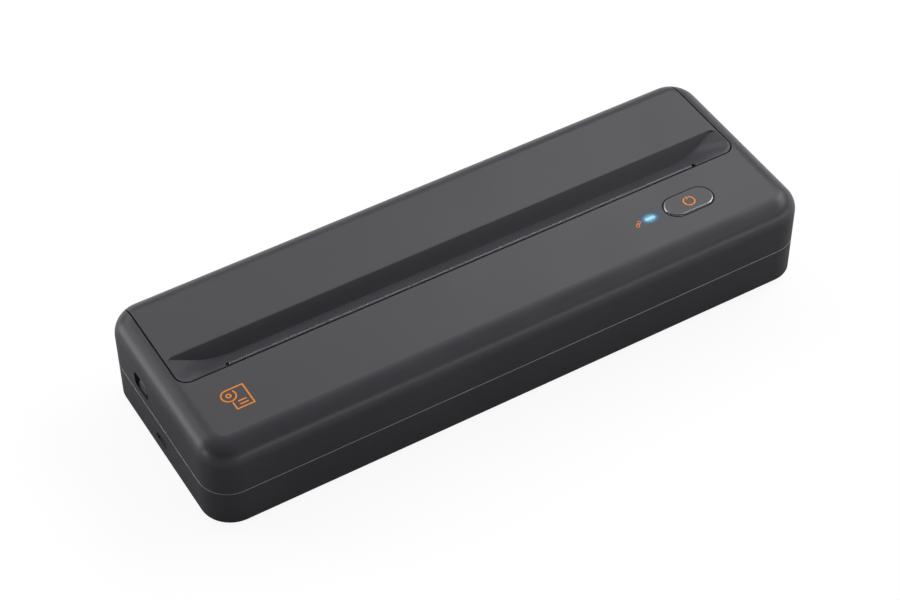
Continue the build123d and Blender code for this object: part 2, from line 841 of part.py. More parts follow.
with BuildPart() as platen_gear:
    with BuildSketch(Plane.YZ.offset(gear_start)):
        gear_outline(platen_teeth, 0, platen_y, platen_z)
        with Locations((platen_y, platen_z)):
            Circle(platen_shaft_radius + snug, mode=Mode.SUBTRACT)
    extrude(amount=platen_gear_width)
platen_gear.part.label = "platen_gear"
export_step(platen_gear.part, "parts/platen_gear.step")

with BuildPart() as idler_gear:
    with BuildSketch(Plane.YZ.offset(gear_start)):
        gear_outline(idler_small_teeth, idler_small_turn, idler_y, idler_z)
    extrude(amount=large_gear_start - gear_start)
    with BuildSketch(Plane.YZ.offset(large_gear_start)):
        gear_outline(idler_large_teeth, 0, idler_y, idler_z)
    extrude(amount=large_gear_width)
    add(
        bar_along_x(0, half_length, idler_y, idler_z, idler_axle_radius + running),
        mode=Mode.SUBTRACT,
    )
idler_gear.part.label = "idler_gear"
export_step(idler_gear.part, "parts/idler_gear.step")

with BuildPart() as idler_axle:
    add(bar_along_x(gear_start - running, motor_face, idler_y, idler_z, idler_axle_radius))
idler_axle.part.label = "idler_axle"
export_step(idler_axle.part, "parts/idler_axle.step")

with BuildPart() as motor_pinion:
    with BuildSketch(Plane.YZ.offset(large_gear_start - pinion_overlap)):
        gear_outline(pinion_teeth, pinion_turn, pinion_y, pinion_z)
        with Locations((pinion_y, pinion_z)):
            Circle(motor_shaft_radius + snug, mode=Mode.SUBTRACT)
    extrude(amount=large_gear_width + 2 * pinion_overlap)
motor_pinion.part.label = "motor_pinion"
export_step(motor_pinion.part, "parts/motor_pinion.step")

shaft_end = motor_face + motor_shaft_depth
with BuildPart() as motor_shaft:
    add(bar_along_x(large_gear_start - free, shaft_end, pinion_y, pinion_z, motor_shaft_radius))
motor_shaft.part.label = "motor_shaft"
export_step(motor_shaft.part, "parts/motor_shaft.step")

# %% Stepper motor with its ears, screws and the plate it hangs on
ear_middle = motor_radius + motor_ear_width / 2
motor_screw_y = [pinion_y - ear_middle, pinion_y + ear_middle]

with BuildPart() as stepper_motor:
    with BuildSketch(Plane.YZ.offset(motor_face)):
        with Locations((pinion_y, pinion_z)):
            Rectangle(2 * ear_middle + motor_ear_width, motor_ear_width)
        with Locations(*[(y, pinion_z) for y in motor_screw_y]):
            RegularPolygon(motor_screw_radius + snug, 6, major_radius=False, mode=Mode.SUBTRACT)
    extrude(amount=motor_ear)
    with BuildSketch(Plane.YZ.offset(motor_face)):
        with Locations((pinion_y, pinion_z)):
            Circle(motor_radius)
    extrude(amount=motor_length)
    shaft_hole = motor_shaft_radius + running
    add(
        bar_along_x(motor_face, shaft_end + free, pinion_y, pinion_z, shaft_hole),
        mode=Mode.SUBTRACT,
    )
stepper_motor.part.label = "stepper_motor"
export_step(stepper_motor.part, "parts/stepper_motor.step")

with BuildPart() as motor_screws:
    for y in motor_screw_y:
        add(bar_along_x(plate_x, motor_face + motor_ear, y, pinion_z, motor_screw_radius))
    with BuildSketch(Plane.YZ.offset(motor_face + motor_ear)):
        with Locations(*[(y, pinion_z) for y in motor_screw_y]):
            RegularPolygon(2 * motor_screw_radius, 6)
    extrude(amount=motor_ear)
motor_screws.part.label = "motor_screws"
export_step(motor_screws.part, "parts/motor_screws.step")

plate_front = pinion_y - ear_middle - motor_ear_width / 2
plate_back = idler_y + motor_ear_width
with BuildPart() as gear_plate:
    with BuildSketch(Plane.YZ.offset(plate_x)):
        Polygon(
            (plate_front, floor_z),
            (plate_back, floor_z),
            (plate_back, idler_z + idler_axle_radius + wall),
            (idler_y - motor_ear_width, idler_z + motor_radius / 2),
            (plate_front, pinion_z + motor_ear_width),
        )
        with Locations((pinion_y, pinion_z)):
            Circle(motor_shaft_radius + free, mode=Mode.SUBTRACT)
        with Locations(*[(y, pinion_z) for y in motor_screw_y]):
            RegularPolygon(motor_screw_radius + snug, 6, major_radius=False, mode=Mode.SUBTRACT)
        with Locations((idler_y, idler_z)):
            Circle(idler_axle_radius + snug, mode=Mode.SUBTRACT)
    extrude(amount=sheet)
    with BuildSketch(Plane.XY.offset(floor_z)):
        with Locations((motor_face, (plate_front + plate_back) / 2)):
            Rectangle(motor_ear_width, plate_back - plate_front, align=(Align.MAX, Align.CENTER))
    extrude(amount=sheet)
gear_plate.part.label = "gear_plate"
export_step(gear_plate.part, "parts/gear_plate.step")

# %% Print head: ceramic board on a ribbed heat sink that rocks on two pins
with BuildPart() as print_head_board:
    with BuildSketch(head_plane):
        with Locations((0, head_board_above)):
            Rectangle(
                head_board_thickness,
                head_board_above + head_board_below,
                align=(Align.MAX, Align.MAX),
            )
    extrude(amount=head_half, both=True)
print_head_board.part.label = "print_head_board"
export_step(print_head_board.part, "parts/print_head_board.step")

heat_sink_back = -(head_board_thickness + heat_sink_thickness)
pivot_local = (-head_pivot_inset, -head_pivot_below)
pivot = head_plane.from_local_coords(Vector(*pivot_local))

with BuildPart() as heat_sink:
    with BuildSketch(head_plane):
        with Locations((-head_board_thickness, heat_sink_above)):
            Rectangle(
                heat_sink_thickness,
                heat_sink_above + heat_sink_below,
                align=(Align.MAX, Align.MAX),
            )
        with Locations((heat_sink_back, -heat_sink_slots - heat_sink_slot_width / 2)):
            with GridLocations(0, 2 * heat_sink_slot_width, 1, heat_sink_slots):
                Rectangle(2 * heat_sink_slot_depth, heat_sink_slot_width, mode=Mode.SUBTRACT)
    extrude(amount=head_half, both=True)
    for side in (-1, 1):
        with BuildSketch(Plane.YZ.offset(side * head_half)):
            with Locations((pivot.Y, pivot.Z)):
                Circle(head_pivot_radius + running)
        extrude(amount=-side * (head_pivot_depth + free), mode=Mode.SUBTRACT)
heat_sink.part.label = "heat_sink"
export_step(heat_sink.part, "parts/heat_sink.step")

with BuildPart() as head_pivot_pins:
    for side in (-1, 1):
        with BuildSketch(Plane.YZ.offset(side * (ear_inner + sheet))):
            with Locations((pivot.Y, pivot.Z)):
                Circle(head_pivot_radius)
        extrude(amount=-side * (ear_inner + sheet - head_half + head_pivot_depth))
head_pivot_pins.part.label = "head_pivot_pins"
export_step(head_pivot_pins.part, "parts/head_pivot_pins.step")

with BuildPart() as head_springs:
    middle = -spring_height / 4
    low = middle - spring_height / 2
    high = middle + spring_height / 2
    crest = heat_sink_back - spring_play
    with BuildSketch(head_plane.offset(-spring_width / 2)):
        Polygon(
            (-spring_wall, low),
            (crest, middle - spring_crest),
            (crest, middle + spring_crest),
            (-spring_wall, high),
            (-spring_wall, high - spring_strip),
            (crest - spring_strip, middle + spring_crest - spring_strip),
            (crest - spring_strip, middle - spring_crest + spring_strip),
            (-spring_wall, low + spring_strip),
        )
    leaf = extrude(amount=spring_width, mode=Mode.PRIVATE)
    spacing = 2 * head_half / spring_count
    for index in range(spring_count):
        add(leaf.moved(Location(((index - (spring_count - 1) / 2) * spacing, 0, 0))))
head_springs.part.label = "head_springs"
export_step(head_springs.part, "parts/head_springs.step")

# %% Head bracket: folded sheet behind the springs, with an ear at each end
ear_front = bracket_foot_y - bracket_post[1] / 2
ear_back = platen_y + platen_shaft_radius + ear_behind_shaft
ear_top = platen_z + ear_above_shaft
slot_half = platen_shaft_radius + ear_slot_gap
with BuildPart() as head_bracket:
    with BuildSketch(head_plane):
        with Locations((-spring_wall, head_board_above)):
            Rectangle(sheet, bracket_wall, align=(Align.MAX, Align.MAX))
    extrude(amount=ear_inner + sheet, both=True)
    with BuildSketch(Plane.YZ):
        with Locations((ear_front, bracket_foot_z)):
            Rectangle(bracket_foot, sheet, align=(Align.MIN, Align.MIN))
    extrude(amount=ear_inner + sheet, both=True)
    wall_top = head_plane.from_local_coords(Vector(-spring_wall - sheet, head_board_above))
    for side in (-1, 1):
        with BuildSketch(Plane.YZ.offset(side * ear_inner)):
            Polygon(
                (ear_front, bracket_foot_z),
                (ear_back, bracket_foot_z),
                (ear_back, ear_top),
                (contact_y, ear_top),
                (wall_top.Y, wall_top.Z),
            )
            Polygon(
                (platen_y - slot_half, platen_z - slot_half),
                (platen_y + slot_half, platen_z - slot_half),
                (platen_y + slot_half, ear_top + sheet),
                (platen_y - slot_half - sheet, ear_top + sheet),
                mode=Mode.SUBTRACT,
            )
            with Locations((pivot.Y, pivot.Z)):
                Circle(head_pivot_radius + snug, mode=Mode.SUBTRACT)
        extrude(amount=side * sheet)
head_bracket.part.label = "head_bracket"
export_step(head_bracket.part, "parts/head_bracket.step")

# %% Paper tray: a trough under the roll, closed at both ends
with BuildPart() as paper_tray:
    with BuildSketch(Plane.YZ):
        with Locations((roll_y, tray_z)):
            Circle(tray_outer)
            Rectangle(tray_outer, tray_rear_lip, align=(Align.MIN, Align.MIN))
            Rectangle(tray_outer, tray_outer, align=(Align.MAX, Align.MIN), mode=Mode.SUBTRACT)
            Circle(tray_radius, mode=Mode.SUBTRACT)
        with Locations((roll_y + tray_radius, tray_z)):
            Rectangle(tray_outer, tray_rear_lip, align=(Align.MAX, Align.MIN), mode=Mode.SUBTRACT)
        with Locations((roll_y, tray_z - tray_outer * sin(radians(tray_front_angle)))):
            Rectangle(
                2 * tray_outer, tray_outer, align=(Align.MAX, Align.MIN), mode=Mode.SUBTRACT
            )
        with Locations((roll_y, tray_z + tray_rear_lip)):
            Rectangle(2 * tray_outer, tray_outer, align=(Align.MIN, Align.MIN), mode=Mode.SUBTRACT)
    extrude(amount=tray_half, both=True)
    for side in (-1, 1):
        with BuildSketch(Plane.YZ.offset(side * tray_half)):
            with Locations((roll_y, tray_z)):
                Circle(tray_outer)
                Rectangle(
                    2 * tray_outer, tray_outer, align=(Align.CENTER, Align.MIN), mode=Mode.SUBTRACT
                )
        extrude(amount=-side * tray_wall)
paper_tray.part.label = "paper_tray"
export_step(paper_tray.part, "parts/paper_tray.step")

sensor_z = tray_z - tray_outer * sin(radians(sensor_drop_angle))
sensor_y = roll_y - tray_outer * cos(radians(tray_front_angle)) - free
with BuildPart() as paper_sensor:
    with Locations((sensor_x, sensor_y, sensor_z)):
        Box(*sensor_size, align=(Align.CENTER, Align.MAX, Align.CENTER))
paper_sensor.part.label = "paper_sensor"
export_step(paper_sensor.part, "parts/paper_sensor.step")

# %% Release slider, its spring, and the latch bar that it turns
knob_front = slider_window_front + knob_start
fork_gap = latch_width / 2 + fork_play
lever_x = slider_inner_x + fork_reach - fork_end
with BuildPart() as release_slider:
    with BuildSketch(Plane.YZ.offset(slider_plate_x)):
        with Locations((guide_front, slider_z)):
            Rectangle(
                slider_back - guide_front,
                slider_plate_high - slider_plate_low,
                align=(Align.MIN, Align.CENTER),
            )
    extrude(amount=slider_plate)
    with BuildSketch(Plane.YZ.offset(slider_plate_x)):
        with Locations((knob_front + knob_length / 2, slider_z)):
            SlotOverall(knob_length, knob_height)
    extrude(amount=-(half_length - knob_sink + slider_plate_x))
    chamfer(release_slider.faces().sort_by(Axis.X)[0].edges(), knob_rounding)
    with BuildSketch(Plane.YZ.offset(slider_inner_x)):
        for direction in (-1, 1):
            with Locations((latch_y + direction * (fork_gap + fork_prong / 2), slider_z)):
                Rectangle(fork_prong, fork_height)
    extrude(amount=fork_reach)
    with BuildSketch(Plane.YZ.offset(slider_inner_x)):
        with Locations((slider_back, slider_z)):
            Rectangle(fork_prong, spring_side, align=(Align.MAX, Align.CENTER))
    extrude(amount=spring_side)
release_slider.part.label = "release_slider"
export_step(release_slider.part, "parts/release_slider.step")

fold_step = (spring_room - 2 * running - spring_leaf) / spring_folds
fold_x = (slider_inner_x + free, slider_inner_x + spring_side)
fold_y = slider_back + running
folds = [(fold_x[i % 2], fold_y + i * fold_step) for i in range(spring_folds + 1)]
with BuildPart() as release_spring:
    with BuildSketch(Plane.XY.offset(slider_z - spring_side / 2)):
        for (near_x, near_y), (far_x, far_y) in zip(folds, folds[1:]):
            Polygon(
                (near_x, near_y),
                (far_x, far_y),
                (far_x, far_y + spring_leaf),
                (near_x, near_y + spring_leaf),
            )
    extrude(amount=spring_side)
release_spring.part.label = "release_spring"
export_step(release_spring.part, "parts/release_spring.step")

hook_top = platen_z + hook_rise
hook_stem_y = frame_back + hook_gap + hook_nose
with BuildPart() as latch_bar:
    add(bar_along_x(lever_x - latch_width / 2, hook_end, latch_y, latch_z, latch_bar_radius))
    with BuildSketch(Plane.YZ.offset(lever_x - latch_width / 2)):
        with Locations((latch_y, latch_z - latch_width / 2)):
            Rectangle(
                latch_width,
                slider_z + fork_height - latch_z + latch_width / 2,
                align=(Align.CENTER, Align.MIN),
            )
    extrude(amount=latch_width - fork_end)
    for side in (-1, 1):
        with BuildSketch(Plane.YZ.offset(side * ear_inner)):
            Polygon(
                (latch_y - hook_foot, latch_z - hook_foot),
                (latch_y + hook_foot, latch_z - hook_foot),
                (hook_stem_y + hook_thickness, hook_top - hook_nose),
                (hook_stem_y + hook_thickness, hook_top),
                (hook_stem_y - hook_nose, hook_top),
                (hook_stem_y - hook_nose, hook_top - hook_nose),
                (hook_stem_y, hook_top - hook_nose),
            )
        extrude(amount=side * hook_thickness)
latch_bar.part.label = "latch_bar"
export_step(latch_bar.part, "parts/latch_bar.step")

# %% Power button, its switch and the status light
button_top = top_z + button_proud
button_flange_top = ceiling_z - free
board_top = button_board_z + board
with BuildPart() as power_switch:
    with Locations((button_x, button_y, board_top)):
        Box(switch_side, switch_side, switch_height, align=(Align.CENTER, Align.CENTER, Align.MIN))
    with Locations((button_x, button_y, board_top + switch_height)):
        Box(button_stem, button_stem, switch_plunger, align=(Align.CENTER, Align.CENTER, Align.MIN))
power_switch.part.label = "power_switch"
export_step(power_switch.part, "parts/power_switch.step")

stem_bottom = board_top + switch_height + switch_plunger + button_travel + free
with BuildPart() as power_button:
    with BuildSketch(Plane.XY.offset(button_flange_top)):
        with Locations((button_x, button_y)):
            SlotOverall(button_length, button_width)
    extrude(amount=button_top - button_flange_top)
    chamfer(power_button.faces().sort_by(Axis.Z)[-1].edges(), button_rounding)
    with BuildSketch(Plane.XY.offset(button_flange_top)):
        with Locations((button_x, button_y)):
            Rectangle(button_length + 2 * button_flange, button_width + 2 * button_flange)
    extrude(amount=-button_flange_thickness)
    with BuildSketch(Plane.XY.offset(stem_bottom)):
        with Locations((button_x, button_y)):
            Rectangle(button_stem, button_stem)
    extrude(amount=button_flange_top - stem_bottom)
power_button.part.label = "power_button"
export_step(power_button.part, "parts/power_button.step")

light_low = board_top + led_height + free
with BuildPart() as status_light_guide:
    with BuildSketch(Plane.XY.offset(light_low)):
        with Locations((light_x, light_y)):
            SlotOverall(light_length, light_width)
    extrude(amount=top_z - light_low)
    with BuildSketch(Plane.XY.offset(ceiling_z)):
        with Locations((light_x, light_y)):
            Rectangle(light_length + 2 * light_flange, light_width + 2 * light_flange)
    extrude(amount=-light_flange)
status_light_guide.part.label = "status_light_guide"
export_step(status_light_guide.part, "parts/status_light_guide.step")

with BuildPart() as status_led:
    with Locations((light_x, light_y, board_top)):
        Box(led_length, light_width, led_height, align=(Align.CENTER, Align.CENTER, Align.MIN))
status_led.part.label = "status_led"
export_step(status_led.part, "parts/status_led.step")

# %% Circuit boards
with BuildPart() as button_board:
    with BuildSketch(Plane.XY.offset(button_board_z)):
        with Locations(button_board_middle):
            Rectangle(*button_board_size)
    extrude(amount=board)
button_board.part.label = "button_board"
export_step(button_board.part, "parts/button_board.step")

with BuildPart() as main_board:
    with BuildSketch(Plane.XY.offset(main_board_z)):
        with Locations(main_board_middle):
            Rectangle(*main_board_size)
    extrude(amount=board)
main_board.part.label = "main_board"
export_step(main_board.part, "parts/main_board.step")

middle_x, middle_y = main_board_middle
with BuildPart() as board_components:
    for offset_x, chip_length, chip_width in chip_sizes:
        with BuildSketch(Plane.XY.offset(main_board_z + board)):
            with Locations((middle_x + offset_x, middle_y)):
                Rectangle(chip_length, chip_width)
        extrude(amount=chip_height)
    with BuildSketch(Plane.XY.offset(main_board_z + board)):
        with Locations(*[(middle_x + offset_x, middle_y) for offset_x in coil_offsets]):
            Circle(coil_radius)
    extrude(amount=coil_height)
board_components.part.label = "board_components"
export_step(board_components.part, "parts/board_components.step")

# %% USB-C socket and its board
usb_mouth = -half_length + usb_recess
with BuildPart() as usb_c_shell:
    with BuildSketch(Plane.YZ.offset(usb_mouth)):
        with Locations((usb_y, usb_z)):
            SlotOverall(usb_width, usb_height)
            SlotOverall(usb_width - 2 * usb_skin, usb_height - 2 * usb_skin, mode=Mode.SUBTRACT)
    extrude(amount=usb_length)
usb_c_shell.part.label = "usb_c_shell"
export_step(usb_c_shell.part, "parts/usb_c_shell.step")

with BuildPart() as usb_c_tongue:
    with BuildSketch(Plane.YZ.offset(usb_mouth + usb_length)):
        with Locations((usb_y, usb_z)):
            SlotOverall(
                usb_width - 2 * usb_skin - 2 * snug, usb_height - 2 * usb_skin - 2 * snug
            )
    extrude(amount=-usb_core)
    with BuildSketch(Plane.YZ.offset(usb_mouth + usb_length)):
        with Locations((usb_y, usb_z)):
            Rectangle(usb_tongue_share * usb_width, 2 * usb_skin)
    extrude(amount=-usb_length + 2 * usb_skin)
usb_c_tongue.part.label = "usb_c_tongue"
export_step(usb_c_tongue.part, "parts/usb_c_tongue.step")

with BuildPart() as usb_board:
    with BuildSketch(Plane.XY.offset(usb_board_z)):
        with Locations((usb_board_middle, usb_y)):
            Rectangle(*usb_board_size)
    extrude(amount=board)
usb_board.part.label = "usb_board"
export_step(usb_board.part, "parts/usb_board.step")

# %% Battery cells
with BuildPart() as battery_cells:
    for start in cell_starts:
        add(bar_along_x(start, start + cell_length, cell_y, cell_z, cell_radius))
battery_cells.part.label = "battery_cells"
export_step(battery_cells.part, "parts/battery_cells.step")

# %% Casing screws and rubber feet
with BuildPart() as casing_screws:
    with BuildSketch(Plane.XY.offset(bottom_z + screw_seat)):
        with GridLocations(2 * screw_x, 2 * screw_y, 2, 2):
            RegularPolygon(screw_head_radius, screw_head_sides, major_radius=False)
    extrude(amount=-screw_head)
    with BuildSketch(Plane.XY.offset(bottom_z + screw_seat)):
        with GridLocations(2 * screw_x, 2 * screw_y, 2, 2):
            RegularPolygon(screw_radius, 6, major_radius=False)
    extrude(amount=screw_length)
casing_screws.part.label = "casing_screws"
export_step(casing_screws.part, "parts/casing_screws.step")

with BuildPart() as rubber_feet:
    with BuildSketch(Plane.XY):
        with GridLocations(2 * foot_x, 2 * foot_y, 2, 2):
            Rectangle(*foot_pad)
    extrude(amount=foot_thickness)
rubber_feet.part.label = "rubber_feet"
export_step(rubber_feet.part, "parts/rubber_feet.step")

print(f"overall {length:.1f} x {depth:.1f} x {button_top:.2f} mm")
print(f"platen axis ({platen_y:.4f}, {platen_z:.4f}), idler axis ({idler_y:.4f}, {idler_z:.4f})")
print(f"pinion axis ({pinion_y:.4f}, {pinion_z:.4f}), head pivot ({pivot.Y:.4f}, {pivot.Z:.4f})")
print(f"hinge axis ({hinge_y:.4f}, {hinge_z:.4f}), latch axis ({latch_y:.4f}, {latch_z:.4f})")
print(f"slider middle {slider_z:.4f}, trough middle ({roll_y:.4f}, {tray_z:.4f})")
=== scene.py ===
# %% [markdown]
# # An A4 portable thermal printer
# This lesson dresses a printer that already exists as exact solids. The solids are loaded
# as a fixed frame, so nothing here moves or reshapes them. What is left to make is what
# solids can't say: plastics, rubber, metal, ink, the lit lamp, the light and the camera.

from math import atan2, cos, pi, radians, sin, tan

import bmesh
import bpy
from mathutils import Matrix, Vector


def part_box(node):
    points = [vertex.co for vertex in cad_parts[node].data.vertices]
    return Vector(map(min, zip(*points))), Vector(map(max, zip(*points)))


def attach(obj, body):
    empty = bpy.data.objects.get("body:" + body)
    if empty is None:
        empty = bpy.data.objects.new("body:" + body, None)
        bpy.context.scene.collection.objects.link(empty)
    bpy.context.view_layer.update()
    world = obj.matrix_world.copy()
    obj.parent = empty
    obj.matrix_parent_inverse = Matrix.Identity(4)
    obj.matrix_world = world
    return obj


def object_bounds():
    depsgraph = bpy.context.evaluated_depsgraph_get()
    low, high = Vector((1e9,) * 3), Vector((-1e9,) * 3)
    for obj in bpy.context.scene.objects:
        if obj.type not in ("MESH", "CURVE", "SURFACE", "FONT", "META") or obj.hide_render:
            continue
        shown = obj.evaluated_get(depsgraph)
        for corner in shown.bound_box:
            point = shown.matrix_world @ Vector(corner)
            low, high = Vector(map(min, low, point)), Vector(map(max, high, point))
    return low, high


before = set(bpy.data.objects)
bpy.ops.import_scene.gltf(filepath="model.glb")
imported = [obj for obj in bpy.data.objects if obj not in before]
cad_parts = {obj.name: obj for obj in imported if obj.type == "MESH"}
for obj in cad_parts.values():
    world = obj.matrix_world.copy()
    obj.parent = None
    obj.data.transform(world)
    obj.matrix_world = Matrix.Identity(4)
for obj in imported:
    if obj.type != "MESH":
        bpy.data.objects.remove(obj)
solid_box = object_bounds()
MM = 0.001
print("box in mm:", [[round(v / MM, 2) for v in corner] for corner in solid_box])

# %% [markdown]
# ## The camera
# A long flat object shows best from above one corner through a long lens, which keeps its
# edges nearly parallel. The viewpoint could be found by dragging the camera by hand. Here
# it is written as two angles, a small roll and a distance, because those plain numbers say
# where the camera stands and can be changed one at a time.

# %% Camera
azimuth, elevation, roll = radians(-30.3341), radians(46.0776), radians(-0.5305)
stand_back, slide_right, slide_up = 0.98323, -0.0053856, 0.0096832
focal_length_mm, sensor_width_mm = 96.14, 36
casing_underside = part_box("base_shell")[0].z

back = Vector((sin(azimuth) * cos(elevation), -cos(azimuth) * cos(elevation), sin(elevation)))
level_right = Vector((cos(azimuth), sin(azimuth), 0))
level_up = back.cross(level_right)
right = cos(roll) * level_right + sin(roll) * level_up
up = -sin(roll) * level_right + cos(roll) * level_up

camera_data = bpy.data.cameras.new("camera")
camera_data.lens = focal_length_mm
camera_data.sensor_width = sensor_width_mm
camera = bpy.data.objects.new("camera", camera_data)
bpy.context.scene.collection.objects.link(camera)
aim = Vector((0, 0, casing_underside))
stand = aim + stand_back * back + slide_right * right + slide_up * up
turned = Matrix((right, up, back)).transposed()
camera.matrix_world = Matrix.Translation(stand) @ turned.to_4x4()
bpy.context.scene.camera = camera
print("camera at", [round(v, 4) for v in stand])

# %% [markdown]
# ## Building a material from nodes
# Every finish on the printer is a small set of shader nodes. The colour wanders a little,
# because moulded plastic is never perfectly even, and a bump gives the surface its grain.
# A texture image could do this, but nodes stay sharp at any distance and need no file.
# Object coordinates are used, so that the grain has the same size in millimetres everywhere.

# %% Helpers that start a material
EVEN = (1, 1, 1)


def start_material(name):
    """A new material with its node tree, its main shader and the object's own coordinates."""
    material = bpy.data.materials.new(name)
    material.use_nodes = True
    tree = material.node_tree
    place = tree.nodes.new("ShaderNodeTexCoord").outputs["Object"]
    return material, tree, tree.nodes["Principled BSDF"], place


def noise(tree, place, size_mm, detail, stretch=EVEN):
    """A noise whose blotches are about size_mm across. A stretch below 1 draws them out."""
    mapping = tree.nodes.new("ShaderNodeMapping")
    mapping.inputs["Scale"].default_value = stretch
    tree.links.new(place, mapping.inputs["Vector"])
    texture = tree.nodes.new("ShaderNodeTexNoise")
    texture.inputs["Scale"].default_value = 1 / (size_mm * MM)
    texture.inputs["Detail"].default_value = detail
    tree.links.new(mapping.outputs["Vector"], texture.inputs["Vector"])
    return texture.outputs["Fac"]


def remap(tree, value, old, new, way="LINEAR"):
    """Turns a number in the range old into one in the range new, and stops at its ends."""
    spread = tree.nodes.new("ShaderNodeMapRange")
    spread.interpolation_type = way
    spread.inputs["From Min"].default_value, spread.inputs["From Max"].default_value = old
    spread.inputs["To Min"].default_value, spread.inputs["To Max"].default_value = new
    tree.links.new(value, spread.inputs["Value"])
    return spread.outputs["Result"]


print("materials before the first finish:", len(bpy.data.materials))

# %% [markdown]
# ## From a number to a finish
# A noise is only a number at each place, and most of its values lie around a half. A finish
# needs a tone, a roughness and a height, so each of these helpers stretches the middle of
# the noise over the range that it is given. One noise can feed all three, which is right
# for a scratch or a ring, because it changes the tone and the gloss where it is.

# %% Helpers that use a number in a finish
NOISE_RANGE = (0.3, 0.7)
TINT_STOPS = (0.35, 0.65)


def tint(tree, value, low_tone, high_tone, target):
    """Colours a socket between two tones by a number, such as a noise or a distance."""
    ramp = tree.nodes.new("ShaderNodeValToRGB")
    for stop, position, tone in zip(ramp.color_ramp.elements, TINT_STOPS, (low_tone, high_tone)):
        stop.position = position
        stop.color = (*tone, 1)
    tree.links.new(value, ramp.inputs["Fac"])
    tree.links.new(ramp.outputs["Color"], target)


def shaded(tone, share):
    """A tone made darker or lighter by a share."""
    return [c * share for c in tone]


def roughen(tree, value, rough, swing, shader):
    """Lets the roughness wander with a noise, by swing to either side of rough."""
    wander = remap(tree, value, NOISE_RANGE, (rough - swing, rough + swing))
    tree.links.new(wander, shader.inputs["Roughness"])


def grain(tree, value, depth_mm, shader, strength=1.0):
    """Raises the surface by a noise, as deep as the grain of the mould."""
    bump = tree.nodes.new("ShaderNodeBump")
    bump.inputs["Strength"].default_value = strength
    bump.inputs["Distance"].default_value = depth_mm * MM
    tree.links.new(value, bump.inputs["Height"])
    tree.links.new(bump.outputs["Normal"], shader.inputs["Normal"])


print("a noise counts from", NOISE_RANGE[0], "to", NOISE_RANGE[1])

# %% [markdown]
# ## Moulded plastics
# The casing is a dark, slightly blue grey with a fine matt grain that the steel mould leaves
# on it. Its gloss is soft and weak, so edges catch light as broad bands and not as sharp
# lines. Each plastic could have its own nodes, but they differ only in tone, gloss and
# grain, so one function makes them all.

# %% Plastics
def moulded(name, tone, rough, grain_mm, grain_depth, shift=0.04, specular=0.25, blotch_mm=30):
    """A plastic whose tone and gloss wander in wide blotches under a fine grain."""
    material, tree, shader, place = start_material(name)
    blotches = noise(tree, place, blotch_mm, detail=4)
    low_tone, high_tone = shaded(tone, 1 - shift), shaded(tone, 1 + shift)
    tint(tree, blotches, low_tone, high_tone, shader.inputs["Base Color"])
    roughen(tree, blotches, rough, 0.03, shader)
    shader.inputs["Specular IOR Level"].default_value = specular
    grain(tree, noise(tree, place, grain_mm, detail=2), grain_depth, shader)
    return material


casing_plastic = moulded("casing_plastic", (0.0575, 0.0565, 0.0650), 0.34, 0.35, 0.012)
cover_plastic = moulded("cover_plastic", (0.0568, 0.0558, 0.0642), 0.34, 0.35, 0.012)
button_plastic = moulded("button_plastic", (0.0590, 0.0580, 0.0655), 0.32, 0.30, 0.006)
slider_plastic = moulded("slider_plastic", (0.0640, 0.0630, 0.0700), 0.34, 0.30, 0.006)
inner_plastic = moulded("inner_plastic", (0.016, 0.016, 0.017), 0.42, 0.5, 0.01)
bearing_plastic = moulded("bearing_plastic", (0.035, 0.035, 0.036), 0.35, 0.6, 0.004)
gear_plastic = moulded("gear_plastic", (0.72, 0.71, 0.66), 0.38, 0.8, 0.004, blotch_mm=4)
chip_plastic = moulded("chip_plastic", (0.012, 0.012, 0.013), 0.45, 0.2, 0.01, blotch_mm=2)
lamp_plastic = moulded("lamp_plastic", (0.80, 0.80, 0.74), 0.30, 0.6, 0.003, blotch_mm=2)
cell_wrap = moulded("cell_wrap", (0.03, 0.11, 0.30), 0.28, 1.2, 0.01, blotch_mm=12)
print("materials with the plastics:", len(bpy.data.materials))

# %% [markdown]
# ## Rubber
# The platen is ground rubber with fine rings around it, and the feet are soft and dull. The
# rings could be cut into the mesh, but they are a few hundredths of a millimetre deep. A
# noise drawn out around the roller gives tone, gloss and bump their rings at once.

# %% Rubbers
def rubber(name, tone, rough, ring_mm):
    """A dull rubber with rings around X."""
    material, tree, shader, place = start_material(name)
    rings = noise(tree, place, ring_mm, detail=2, stretch=(1, 0.15, 0.15))
    tint(tree, rings, shaded(tone, 0.9), shaded(tone, 1.1), shader.inputs["Base Color"])
    roughen(tree, rings, rough, 0.04, shader)
    shader.inputs["Specular IOR Level"].default_value = 0.3
    grain(tree, rings, 0.02, shader)
    return material


platen_rubber = rubber("platen_rubber", (0.020, 0.020, 0.021), 0.62, 0.5)
foot_rubber = rubber("foot_rubber", (0.014, 0.014, 0.014), 0.72, 0.8)
print("materials with the rubbers:", len(bpy.data.materials))

# %% [markdown]
# ## Metals
# Steel parts are drawn or folded, so their scratches run along X, and the heat sink is
# extruded in the same direction. The tear bar is a duller stamped steel, and the brass
# pinion is turned, with no one direction. An even grey would look like paint. The same noise
# in tone, gloss and bump makes the scratches of a metal, with the noise drawn out along X.

# %% Metals
def metal(name, tone, rough, scratch_mm, stretch=(0.05, 1, 1)):
    """A metal with fine scratches, along X unless the stretch is even."""
    material, tree, shader, place = start_material(name)
    scratches = noise(tree, place, scratch_mm, detail=4, stretch=stretch)
    tint(tree, scratches, shaded(tone, 0.88), tone, shader.inputs["Base Color"])
    roughen(tree, scratches, rough, 0.06, shader)
    shader.inputs["Metallic"].default_value = 1.0
    grain(tree, scratches, 0.006, shader)
    return material


